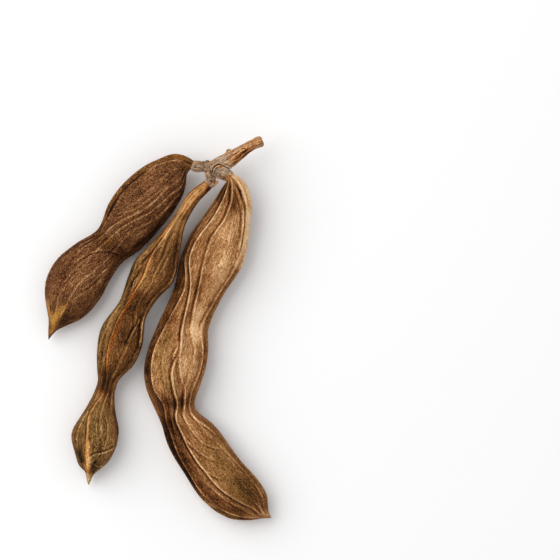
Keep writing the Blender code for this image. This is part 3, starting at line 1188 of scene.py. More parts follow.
@dataclass(frozen=True)
class Stalk:
    """The cut stem with its three pedicels, grown together as one piece.

    cracks and stains_and_shading strokes are drawn in plan, as on the pods. base is the tone of
    plain bark and rust how golden its patches are. bark_rise, waver, pitch and voxel are in mm.
    """

    name: str
    limbs: tuple[Limb, ...]
    knobs: tuple[Knob, ...]
    scars: tuple[RingScar, ...]
    cracks: tuple[Vein, ...]
    stains_and_shading: tuple[StainAndShading, ...]
    finish: SkinFinish
    base: float = 0.50
    sides: int = 40
    pitch: float = 0.3
    voxel: float = 0.11
    bark_rise: float = 0.13
    rust: float = 1.2
    waver: float = 0.16
    knob_steps: int = 16
    softness: float = 0.5
    soften_times: int = 4

    def limb_ball(self, index: int, limb: Limb) -> bpy.types.Object:
        """Shape a ball into one limb.

        Args:
            index: The limb's place in the list.
            limb: The limb.

        Returns:
            The limb as a closed tube.
        """
        rows = limb.stations(self.pitch)
        rings = len(rows) + 1
        piece = new_ball(f"limb_{index}", self.sides, rings)
        ring, column = ball_places(piece, self.sides, rings)
        row = rows[np.clip(ring - 1, 0, len(rows) - 1)]
        angle = 2 * math.pi * column / self.sides
        radius = np.where((ring == 0) | (ring == rings), 0.0, row[:, RADIUS])
        round_it = row[:, BESIDE] * np.cos(angle)[:, None] + row[:, ABOVE] * np.sin(angle)[:, None]
        place = row[:, :3] + round_it * radius[:, None]
        piece.data.vertices.foreach_set("co", self.in_model(place).ravel())
        return piece

    def in_model(self, place: np.ndarray) -> np.ndarray:
        """Move design points to the model.

        Args:
            place: The points, in mm.

        Returns:
            The points, in metres.
        """
        return (place - np.array((*CLUSTER_MIDDLE, 0.0))) * MM

    def knob_ball(self, index: int, knob: Knob) -> bpy.types.Object:
        """Shape a ball into one lump, turned and stretched in edit mode.

        Args:
            index: The lump's place in the list.
            knob: The lump.

        Returns:
            The lump.
        """
        piece = new_ball(f"knob_{index}", 2 * self.knob_steps, self.knob_steps)
        place = self.in_model(np.array(knob.place))
        bpy.ops.object.mode_set(mode="EDIT")
        bpy.ops.mesh.select_all(action="SELECT")
        bpy.ops.transform.resize(value=tuple(size * MM for size in knob.reach))
        bpy.ops.transform.rotate(
            value=-knob.turn, orient_axis="Z", center_override=(0.0, 0.0, 0.0)
        )
        bpy.ops.transform.translate(value=tuple(place))
        bpy.ops.object.mode_set(mode="OBJECT")
        return piece

    def grow_together(self, parts: list[bpy.types.Object]) -> bpy.types.Object:
        """Join the parts and draw one skin over them.

        Args:
            parts: The limbs and lumps, which run into each other.

        Returns:
            One closed piece.
        """
        bpy.ops.object.select_all(action="DESELECT")
        for part in parts:
            part.select_set(True)
        bpy.context.view_layer.objects.active = parts[0]
        bpy.ops.object.join()
        piece = bpy.context.object
        piece.name = f"{self.name}_bark"
        piece.data.name = piece.name
        skin = piece.modifiers.new("one_skin", "REMESH")
        skin.mode = "VOXEL"
        skin.voxel_size = self.voxel * MM
        soft = piece.modifiers.new("soft_forks", "SMOOTH")
        soft.factor = self.softness
        soft.iterations = self.soften_times
        for modifier in (skin, soft):
            bpy.ops.object.modifier_apply(modifier=modifier.name)
        return piece

    def nearest(self, places: np.ndarray) -> tuple[np.ndarray, np.ndarray, np.ndarray]:
        """Find the limb that each point of the skin belongs to.

        Args:
            places: The points, in design mm.

        Returns:
            Each point's limb, its distance along it, and its angle round it.
        """
        best = np.full(len(places), np.inf)
        owner = np.zeros(len(places), dtype=int)
        along = np.zeros(len(places))
        angle = np.zeros(len(places))
        for index, limb in enumerate(self.limbs):
            for row in limb.stations(self.pitch):
                offset = places - row[:3]
                height = np.linalg.norm(offset, axis=1) - row[RADIUS]
                closer = height < best
                best = np.where(closer, height, best)
                owner = np.where(closer, index, owner)
                along = np.where(closer, row[ALONG], along)
                turn = np.arctan2(offset @ row[ABOVE], offset @ row[BESIDE])
                angle = np.where(closer, turn, angle)
        return owner, along, angle

    def dress(self, piece: bpy.types.Object) -> None:
        """Raise the bark's fibres, rings and cracks, and store its tones.

        Args:
            piece: The stalk's plain skin.
        """
        mesh = piece.data
        places = read_rows(mesh.vertices, "co") / MM + np.array((*CLUSTER_MIDDLE, 0.0))
        normals = read_rows(mesh.vertex_normals, "vector")
        owner, along, angle = self.nearest(places)
        grain = np.stack((along, BARK_RADIUS * np.cos(angle), BARK_RADIUS * np.sin(angle)), axis=1)
        fibre = 1 - FIBRE_SHARPNESS * np.abs(FIBRES.read(grain))
        bark = FIBRE_SHARE * fibre + SCALE_SHARE * SCALES.read(grain)
        split = bell(np.abs(SPLITS.read(grain)), SPLIT_REACH)
        rise = self.bark_rise * bark - SPLIT_DEPTH * split
        tone = self.base + BARK_TONE * bark - SPLIT_TONE * split
        gold = self.rust * np.clip(RUST.read(grain), 0.0, 1.0)
        for scar in self.scars:
            ring = scar.show(owner, along, angle, self.waver)
            rise += scar.rise * ring
            tone += scar.pale * ring
        upper = np.clip(CRACK_SIDE + CRACK_TOP * np.sin(angle), CRACK_LEAST, 1.0)
        for line in self.cracks:
            line_rise, line_tone = line.mark(places[:, :2])
            rise += upper * line_rise
            tone += upper * line_tone
        # The strokes are stains, painted shade and painted light.
        for tone_stroke in self.stains_and_shading:
            wash = tone_stroke.wash(places[:, :2])
            tone += tone_stroke.tone * wash
            gold += tone_stroke.gold * wash
        raised = places + normals * rise[:, None]
        mesh.vertices.foreach_set("co", self.in_model(raised).ravel())
        store(piece, "tone", tone)
        store(piece, "gold", np.clip(gold, 0.0, 1.0))
        store(piece, "grain", grain)

    def build(self) -> list[bpy.types.Object]:
        """Build the whole stalk.

        Returns:
            The stalk, with its finish.
        """
        parts = [self.limb_ball(index, limb) for index, limb in enumerate(self.limbs)]
        parts += [self.knob_ball(index, knob) for index, knob in enumerate(self.knobs)]
        piece = self.grow_together(parts)
        self.dress(piece)
        face_outwards(piece)
        piece.data.materials.clear()
        piece.data.materials.append(self.finish.material())
        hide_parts(self.name)
        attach(piece, BODY)
        LOG.info("%s: %d faces", piece.name, len(piece.data.polygons))
        return [piece]


@dataclass(frozen=True)
class SoftLight:
    """A square studio light, aimed at the cluster; sizes are in metres and power in watts."""

    name: str
    place: Place
    side: float
    power: float


@dataclass(frozen=True)
class Studio:
    """The floor, the lights and the camera, which looks straight down.

    Places and sizes are in metres; lens and sensor are in mm.
    """

    lights: tuple[SoftLight, ...]
    sky: float
    camera_place: Place = (0.03657, 0.01451, 3.000)
    lens: float = 641.8
    sensor: float = 36.0
    clip_start: float = 0.01
    floor_side: float = 3.0
    floor_colour: Colour = (252, 252, 252)
    floor_roughness: float = 0.9

    def build(self) -> None:
        """Build the studio."""
        self.lay_floor()
        self.light_sky()
        for light in self.lights:
            self.hang(light)
        self.place_camera()

    def lay_floor(self) -> None:
        """Lay the plain pale floor at z = 0."""
        bpy.ops.object.select_all(action="DESELECT")
        bpy.ops.mesh.primitive_plane_add(size=self.floor_side)
        floor = bpy.context.object
        floor.name = "floor"
        paint = bpy.data.materials.new("pale_floor")
        paint.use_nodes = True
        shader = paint.node_tree.nodes["Principled BSDF"]
        shader.inputs["Base Color"].default_value = linear(self.floor_colour)
        shader.inputs["Roughness"].default_value = self.floor_roughness
        shader.inputs["Specular IOR Level"].default_value = 0.0
        floor.data.materials.append(paint)

    def light_sky(self) -> None:
        """Give the room its even white light."""
        world = bpy.data.worlds.new("studio")
        world.use_nodes = True
        light = world.node_tree.nodes["Background"]
        light.inputs["Color"].default_value = (1.0, 1.0, 1.0, 1.0)
        light.inputs["Strength"].default_value = self.sky
        bpy.context.scene.world = world

    def hang(self, light: SoftLight) -> None:
        """Hang one light and aim it at the cluster.

        Args:
            light: The light.
        """
        bpy.ops.object.light_add(type="AREA", location=light.place)
        lamp = bpy.context.object
        lamp.name = light.name
        lamp.data.shape = "SQUARE"
        lamp.data.size = light.side
        lamp.data.energy = light.power
        lamp.rotation_euler = (-Vector(light.place)).to_track_quat("-Z", "Y").to_euler()

    def place_camera(self) -> None:
        """Put the camera above the middle of the view, looking straight down."""
        bpy.ops.object.camera_add(location=self.camera_place, rotation=(0.0, 0.0, 0.0))
        camera = bpy.context.object
        camera.name = "camera"
        camera.data.lens = self.lens
        camera.data.sensor_width = self.sensor
        camera.data.clip_start = self.clip_start
        bpy.context.scene.camera = camera
        bpy.context.scene.view_settings.view_transform = "Standard"


def seated(points: tuple[Station, ...], first: Cut, second: Cut, radius: float) -> Limb:
    """Run a limb on into the pod that it carries, square to the pod's first cut.

    Args:
        points: The limb's points.
        first: The pod's first cut.
        second: The pod's second cut.
        radius: The limb's radius at the pod.

    Returns:
        The limb, which ends just inside the pod.
    """
    middle = np.array(first.middle())
    across = np.array(first.east) - np.array(first.west)
    axis = np.array((-across[1], across[0])) / np.linalg.norm(across)
    if axis @ (np.array(second.middle()) - middle) < 0:
        axis = -axis
    run = [(*(middle + axis * step), first.height, radius * swell) for step, swell in SEAT_ENDS]
    return Limb((*points, *run))


BARK = SkinFinish(
    name="stalk_bark",
    slot="stalk_bark",
    tones=((28, 20, 15), (86, 64, 48), (128, 102, 80), (160, 131, 105), (190, 163, 136), (222, 202, 180)),
    golds=((40, 20, 8), (104, 60, 30), (150, 94, 50), (184, 126, 75), (212, 162, 108), (236, 200, 152)),
    roughness=0.85,
    sheen=0.0,
    streaks=1.0,
    specks=0.9,
    blotches=0.5,
)
DARK_HAIR = SkinFinish(
    name="pod_left_skin",
    slot="pod_left_skin",
    tones=((20, 9, 3), (62, 32, 15), (102, 61, 33), (141, 93, 55), (180, 130, 84), (228, 186, 136)),
    golds=((40, 18, 4), (108, 60, 18), (154, 98, 38), (182, 128, 54), (204, 156, 80), (228, 190, 118)),
    streaks=0.55,
    specks=1.7,
    blotches=0.45,
)
GOLDEN_HAIR = SkinFinish(
    name="pod_middle_skin",
    slot="pod_middle_skin",
    tones=((24, 10, 4), (69, 38, 15), (111, 68, 32), (152, 103, 56), (196, 144, 87), (236, 197, 142)),
    golds=((52, 18, 3), (122, 56, 14), (174, 92, 28), (202, 124, 48), (220, 160, 86), (238, 198, 136)),
    olives=((22, 14, 4), (65, 44, 18), (106, 75, 37), (146, 108, 60), (188, 148, 92), (234, 202, 148)),
    blotches=0.5,
)
TAN_HAIR = SkinFinish(
    name="pod_right_skin",
    slot="pod_right_skin",
    tones=((24, 11, 4), (70, 37, 13), (116, 69, 34), (160, 109, 63), (203, 153, 102), (246, 205, 158)),
    golds=((38, 22, 8), (98, 65, 27), (142, 102, 52), (180, 137, 82), (214, 171, 118), (244, 210, 162)),
    streaks=0.7,
    specks=1.1,
    blotches=0.55,
)

POD_LEFT = Pod(
    name="pod_left",
    cuts=(
        Cut((10.7, 50.2), (9.8, 47.5), 9.0, 1.5, 0.0, (0.20, 0.40, 0.60, 0.80)),
        Cut((9.3, 51.1), (8.8, 46.2), 8.6, 2.4, -0.2, (0.22, 0.50, 0.68, 0.85)),
        Cut((6.9, 52.0), (8.4, 43.2), 7.9, 3.6, -0.5, (0.19, 0.62, 0.80, 0.93)),
        Cut((-0.9, 50.2), (5.7, 36.6), 6.6, 5.0, -1.0, (0.10, 0.61, 0.76, 0.88)),
        Cut((-9.0, 44.7), (0.8, 30.1), 5.7, 5.8, -1.2, (0.07, 0.60, 0.70, 0.85)),
        Cut((-14.7, 37.5), (-5.2, 23.6), 5.3, 5.5, -1.0, (0.06, 0.39, 0.51, 0.66)),
        Cut((-18.4, 29.4), (-11.1, 19.1), 4.8, 4.4, -0.6, (0.07, 0.19, 0.37, 0.69)),
        Cut((-24.6, 25.5), (-14.1, 14.7), 4.9, 5.0, -0.5, (0.05, 0.16, 0.39, 0.67)),
        Cut((-31.2, 19.5), (-17.7, 8.2), 5.3, 5.6, -0.5, (0.05, 0.15, 0.34, 0.57)),
        Cut((-34.0, 11.1), (-23.4, 2.5), 4.8, 4.6, -0.3, (0.08, 0.20, 0.38, 0.60)),
        Cut((-33.6, 6.6), (-27.0, 0.8), 4.3, 3.0, -0.2, (0.12, 0.27, 0.45, 0.65)),
        Cut((-32.9, 2.7), (-30.0, -0.6), 3.9, 1.7, 0.0, (0.20, 0.40, 0.60, 0.80)),
        Cut((-33.0, -1.2), (-31.8, -2.2), 3.6, 0.8, 0.0, (0.20, 0.40, 0.60, 0.80)),
    ),
    tip=(-32.9, -3.6, 3.5),
    seam=1.0,
    veins=(1.0, 1.0, 0.9, 0.8),
    vein_share=0.45,
    crest_highlight=0.26,
    groove_dirt_and_shade=0.14,
    lines=(
        crack(((13.5, 47.0), (11.4, 48.4), (9.9, 49.3), (8.1, 50.1), (5.4, 50.6), (2.4, 50.2),
               (-0.5, 48.9), (-3.2, 47.1), (-5.9, 45.1), (-9.3, 42.2), (-11.3, 40.1), (-13.1, 36.9),
               (-14.9, 33.7), (-16.7, 30.5), (-18.1, 28.0), (-19.5, 26.0)), 0.25, 0.28, 0.62),
        Vein(((5.4, 48.0), (1.2, 44.7), (-2.4, 41.4), (-5.4, 38.7), (-8.4, 36.6), (-12.0, 34.5))),
        Vein(((7.2, 46.8), (3.6, 43.5), (0.0, 40.5), (-3.3, 38.1), (-6.6, 35.7), (-10.2, 33.9)),
             rise=0.25),
        Vein(((-10.8, 31.8), (-14.4, 30.0), (-17.4, 27.9), (-20.4, 25.5))),
        Vein(((0.6, 27.6), (-3.0, 25.5), (-6.0, 24.3), (-9.0, 23.1)), rise=0.2, pale=0.06),
        Vein(((-9.9, 21.3), (-11.7, 22.5), (-14.1, 23.2), (-18.0, 23.1), (-22.2, 21.6), (-25.8, 18.9)),
             rise=0.2, width=0.24, pale=0.26, groove=GrooveSide.EAST),
        Vein(((-14.4, 18.6), (-17.4, 15.9), (-20.4, 13.2), (-23.4, 11.1)),
             rise=0.2, width=0.22, pale=0.22),
        Vein(((-16.2, 15.6), (-18.3, 13.2), (-20.7, 11.4), (-23.4, 9.9), (-26.1, 7.8)),
             rise=0.25, pale=0.2),
        Vein(((-18.0, 22.8), (-21.0, 19.8), (-24.0, 16.8), (-27.0, 13.2), (-29.4, 9.3)), rise=0.2),
    ),
    stains_and_shading=(
        StainAndShading(((8.7, 51.0), (2.4, 51.6), (-3.6, 48.6), (-9.6, 44.1), (-14.1, 38.4), (-16.8, 32.4)),
              0.9, -0.06, 0.4),
        StainAndShading(((8.7, 51.3), (3.0, 52.2), (-3.0, 50.1), (-9.3, 45.0), (-14.4, 38.1), (-17.7, 30.6)),
              0.6, 0.04, 0.4),
        StainAndShading(((-17.4, 20.4), (-21.3, 17.1), (-24.9, 12.9)), 2.7, 0.10),
        StainAndShading(((9.0, 45.0), (7.2, 39.6), (4.2, 34.5), (0.6, 29.7), (-3.3, 25.8), (-8.1, 23.1),
               (-11.7, 21.3)), 2.0, -0.08),
        StainAndShading(((1.5, 30.6), (-2.4, 27.3), (-6.9, 24.6)), 1.2, -0.14),
        StainAndShading(((-21.3, 8.1), (-24.9, 5.4), (-28.2, 3.0)), 1.6, -0.14),
        StainAndShading(((6.6, 45.3), (3.6, 40.5), (0.6, 36.0)), 1.5, 0.07),
        StainAndShading(((0.0, 43.5), (-4.5, 39.0), (-9.0, 34.5)), 3.6, 0.04),
        StainAndShading(((-8.4, 41.4), (-12.0, 36.6), (-14.4, 32.4)), 1.8, -0.07),
        StainAndShading(((-26.0, 21.0), (-31.0, 15.0), (-32.5, 9.0)), 2.2, 0.0, 0.0, 0.8),
        StainAndShading(((-18.0, 28.2), (-16.2, 26.4), (-13.8, 25.5)), 1.0, -0.06, 0.5),
        StainAndShading(((-15.0, 13.8), (-18.3, 8.7), (-23.4, 4.2)), 2.4, 0.08),
        StainAndShading(((-28.8, 1.8), (-31.8, 0.6)), 1.5, -0.10),
        StainAndShading(((-33.6, 7.8), (-32.7, 5.1), (-31.5, 2.4)), 0.7, 0.12, 0.9, 0.5),
        StainAndShading(((-28.6, 6.0), (-29.9, 4.2), (-31.2, 1.8)), 1.1, 0.12, 0.9, 0.5),
        StainAndShading(((-32.6, -2.4), (-32.9, -3.9)), 0.8, -0.35, -0.4),
        StainAndShading(((-30.9, 3.6), (-31.5, 0.6), (-32.7, -3.0)), 0.8, 0.10, 0.9, 0.5),
        StainAndShading(((-18.0, 27.6), (-13.5, 24.0)), 2.4, -0.18),
        StainAndShading(((10.2, 49.2), (8.6, 48.4)), 1.0, -0.14, 0.5),
        StainAndShading(((7.2, 48.6), (7.8, 46.5), (8.1, 44.4)), 1.0, -0.15),
    ),
    finish=DARK_HAIR,
    base=0.41,
    seed=3.7,
)
POD_MIDDLE = Pod(
    name="pod_middle",
    cuts=(
        Cut((13.7, 44.1), (16.1, 41.7), 9.0, 1.6, 0.0, (0.20, 0.45, 0.65, 0.85)),
        Cut((9.0, 40.4), (12.2, 37.6), 9.2, 1.9, 0.0, (0.15, 0.40, 0.65, 0.88)),
        Cut((5.5, 34.8), (8.8, 31.8), 8.8, 2.4, 0.0, (0.12, 0.33, 0.58, 0.83)),
        Cut((0.0, 27.8), (6.9, 24.3), 7.8, 3.7, 0.2, (0.10, 0.27, 0.55, 0.92)),
        Cut((-3.6, 24.0), (6.3, 20.7), 6.9, 4.9, 0.3, (0.09, 0.29, 0.60, 0.93)),
        Cut((-6.9, 20.4), (5.8, 17.4), 6.2, 5.8, 0.3, (0.08, 0.34, 0.59, 0.94)),
        Cut((-8.8, 15.9), (4.5, 13.8), 5.9, 6.1, 0.2, (0.11, 0.35, 0.57, 0.94)),
        Cut((-11.7, 7.8), (-0.3, 8.5), 5.6, 5.2, 0.0, (0.10, 0.27, 0.58, 0.88)),
        Cut((-13.7, 5.0), (-2.2, 5.8), 5.5, 5.0, 0.0, (0.11, 0.30, 0.64, 0.92)),
        Cut((-16.3, 1.5), (-3.6, 3.0), 5.5, 5.4, 0.0, (0.10, 0.34, 0.77, 0.93)),
        Cut((-18.3, -7.2), (-5.1, -6.6), 5.6, 5.8, 0.0, (0.09, 0.27, 0.66, 0.93)),
        Cut((-18.3, -12.0), (-7.6, -11.5), 5.1, 4.9, 0.0, (0.13, 0.30, 0.60, 0.89)),
        Cut((-18.1, -15.9), (-11.7, -15.6), 4.7, 3.3, 0.0, (0.18, 0.44, 0.66, 0.88)),
        Cut((-19.3, -19.5), (-12.9, -19.2), 4.6, 3.1, 0.0, (0.18, 0.48, 0.70, 0.90)),
        Cut((-21.6, -23.8), (-12.9, -23.7), 4.7, 4.2, 0.0, (0.11, 0.28, 0.60, 0.90)),
        Cut((-26.1, -32.1), (-11.7, -31.8), 5.3, 5.6, 0.0, (0.13, 0.36, 0.65, 0.91)),
        Cut((-25.3, -36.6), (-12.8, -36.6), 5.0, 5.1, 0.0, (0.12, 0.34, 0.73, 0.92)),
        Cut((-23.6, -41.4), (-15.6, -40.9), 4.4, 3.6, 0.0, (0.14, 0.33, 0.62, 0.87)),
        Cut((-21.9, -43.4), (-19.1, -43.9), 3.9, 1.6, 0.0, (0.20, 0.35, 0.60, 0.85)),
        Cut((-21.4, -45.9), (-20.2, -45.9), 3.6, 0.7, 0.0, (0.20, 0.40, 0.60, 0.80)),
    ),
    tip=(-20.8, -47.2, 3.5),
    seam=0.4,
    veins=(0.8, 1.1, 0.8, 1.0),
    crest_highlight=0.19,
    groove_dirt_and_shade=0.28,
    lines=(
        crack(((2.1, 27.6), (-0.9, 24.0), (-3.6, 21.0), (-5.4, 17.4), (-7.2, 14.1), (-9.0, 10.8)),
              0.3, 0.3, 0.3),
        Vein(((-2.4, 25.5), (-4.8, 22.2), (-7.2, 17.7), (-8.7, 13.8), (-10.5, 9.0), (-12.6, 4.5),
              (-15.0, 0.6), (-16.8, -4.8), (-17.1, -10.2))),
        Vein(((-2.7, 21.6), (-5.1, 18.6), (-6.6, 15.3), (-7.8, 11.4), (-9.3, 7.5)), rise=0.25),
        Vein(((8.4, 36.6), (5.4, 32.7), (3.3, 28.8), (1.5, 24.3), (0.0, 19.8)), groove=GrooveSide.EAST),
        Vein(((4.8, 24.0), (3.0, 20.7), (1.2, 17.4), (-0.9, 14.1)), rise=0.2),
        Vein(((-4.5, 3.9), (-5.4, 2.4), (-6.5, 0.6), (-7.6, -1.2), (-8.5, -3.3), (-9.3, -5.4)),
             rise=0.3, width=0.22, pale=0.42, groove=GrooveSide.WEST),
        Vein(((-3.3, 5.4), (-4.8, 2.1), (-5.2, -2.7), (-6.0, -7.5), (-9.0, -12.6), (-12.0, -16.0)),
             rise=0.2, width=0.22, pale=0.36),
        Vein(((16.0, 42.0), (14.4, 39.9), (12.3, 38.0)), rise=0.1, pale=0.25),
        Vein(((-14.4, 0.9), (-15.6, -3.6), (-16.2, -8.1), (-16.5, -12.6)), rise=0.2),
        Vein(((-21.0, -39.6), (-19.3, -38.1), (-16.5, -37.4), (-13.8, -36.3), (-12.6, -35.1)),
             rise=0.35, width=0.24, pale=0.34, groove=GrooveSide.EAST),
        Vein(((-20.8, -40.6), (-18.9, -39.6), (-17.7, -38.4), (-17.1, -37.0)),
             rise=0.2, width=0.2, pale=0.2),
        Vein(((-20.4, -39.9), (-19.0, -41.1), (-17.4, -41.7), (-16.2, -41.4)),
             rise=0.25, width=0.22, pale=0.3),
        Vein(((-21.0, -25.2), (-23.4, -30.0), (-24.3, -34.2), (-23.7, -38.4)), rise=0.2),
        Vein(((-16.2, -24.0), (-15.0, -28.2), (-15.0, -33.0), (-16.5, -37.2)), rise=0.2),
    ),
    stains_and_shading=(
        StainAndShading(((14.4, 42.9), (10.2, 38.7), (7.5, 35.4)), 1.8, 0.34, 0.3),
        StainAndShading(((5.9, 33.0), (3.6, 29.8), (2.1, 27.3)), 0.8, 0.24, 0.3),
        StainAndShading(((15.6, 41.9), (11.7, 37.9), (8.6, 33.3)), 0.8, -0.25),
        StainAndShading(((7.2, 31.2), (5.7, 28.2), (4.2, 25.5)), 1.0, 0.10, 0.3),
        StainAndShading(((12.9, 41.4), (12.5, 40.9)), 0.4, -0.26),
        StainAndShading(((11.1, 39.6), (10.5, 39.0)), 0.4, -0.24, 0.3),
        StainAndShading(((9.3, 37.2), (8.6, 36.4)), 0.35, -0.24, 0.3),
        StainAndShading(((15.2, 43.2), (15.0, 41.6)), 0.9, -0.30),
        StainAndShading(((-2.1, 20.4), (-3.6, 16.8), (-6.0, 12.6)), 0.7, 0.14, 0.3),
        StainAndShading(((-5.1, 10.5), (-6.9, 8.1), (-8.4, 5.1)), 1.2, -0.12),
        StainAndShading(((3.0, 30.0), (-0.9, 23.4), (-3.9, 15.9), (-7.5, 9.3)), 0.45, 0.0, 0.5),
        StainAndShading(((-6.6, 10.8), (-8.1, 8.1), (-10.8, 3.0), (-13.5, -3.6), (-14.9, -10.2), (-15.2, -13.2)),
              0.4, -0.12, 0.8),
        StainAndShading(((-17.0, -19.5), (-17.7, -21.3)), 1.2, 0.18, 0.5),
        StainAndShading(((-18.6, -22.5), (-19.8, -24.6), (-20.7, -30.6), (-21.1, -38.1), (-21.2, -43.5)),
              0.45, 0.06, 1.7),
        StainAndShading(((-19.8, -25.5), (-20.1, -31.5), (-19.8, -39.0)), 5.5, 0.0, -1.0),
        StainAndShading(((-2.4, 26.4), (-6.6, 19.5), (-9.0, 12.6), (-12.6, 6.0)), 1.6, 0.0, -0.7),
        StainAndShading(((-14.4, 3.6), (-17.4, -4.2), (-17.7, -11.4)), 1.8, 0.0, -0.8),
        StainAndShading(((6.9, 32.4), (4.8, 27.6), (3.0, 22.5)), 1.5, 0.0, -0.25),
        StainAndShading(((-20.9, -34.5), (-21.1, -38.1), (-21.0, -41.7)), 1.1, 0.27, 0.9, 0.9),
        StainAndShading(((-19.4, -35.4), (-19.5, -39.0)), 0.45, -0.20),
        StainAndShading(((-13.1, -24.6), (-12.2, -28.2), (-11.9, -31.8)), 0.5, -0.20),
        StainAndShading(((-24.0, -27.0), (-25.2, -32.1), (-24.0, -38.4)), 1.5, -0.02, 0.0, 0.9),
        StainAndShading(((-14.7, -25.5), (-13.5, -31.8), (-15.0, -38.4)), 3.0, 0.05, 0.0, 0.9),
        StainAndShading(((-7.2, -1.5), (-8.7, -6.0), (-10.5, -10.5)), 2.7, -0.12, 0.0, 0.3),
        StainAndShading(((6.0, 26.4), (4.2, 19.8), (1.5, 13.2), (-2.4, 8.4)), 2.1, -0.06),
        StainAndShading(((-5.4, 8.4), (-9.0, 3.0), (-9.9, -3.6)), 2.1, -0.15),
        StainAndShading(((-16.8, -36.3), (-16.2, -39.0)), 1.2, -0.14),
        StainAndShading(((-15.3, -13.2), (-15.9, -18.6)), 1.8, -0.34),
        StainAndShading(((-23.8, -36.9), (-22.8, -39.9)), 0.9, -0.38),
        StainAndShading(((-18.6, -40.2), (-19.8, -42.6)), 0.9, -0.3),
        StainAndShading(((-21.1, -44.4), (-20.8, -47.1)), 1.0, 0.42, -0.5),
        StainAndShading(((-10.8, -1.5), (-12.3, -6.0), (-12.9, -11.4)), 1.4, -0.10),
    ),
    finish=GOLDEN_HAIR,
    base=0.46,
    seed=11.3,
)
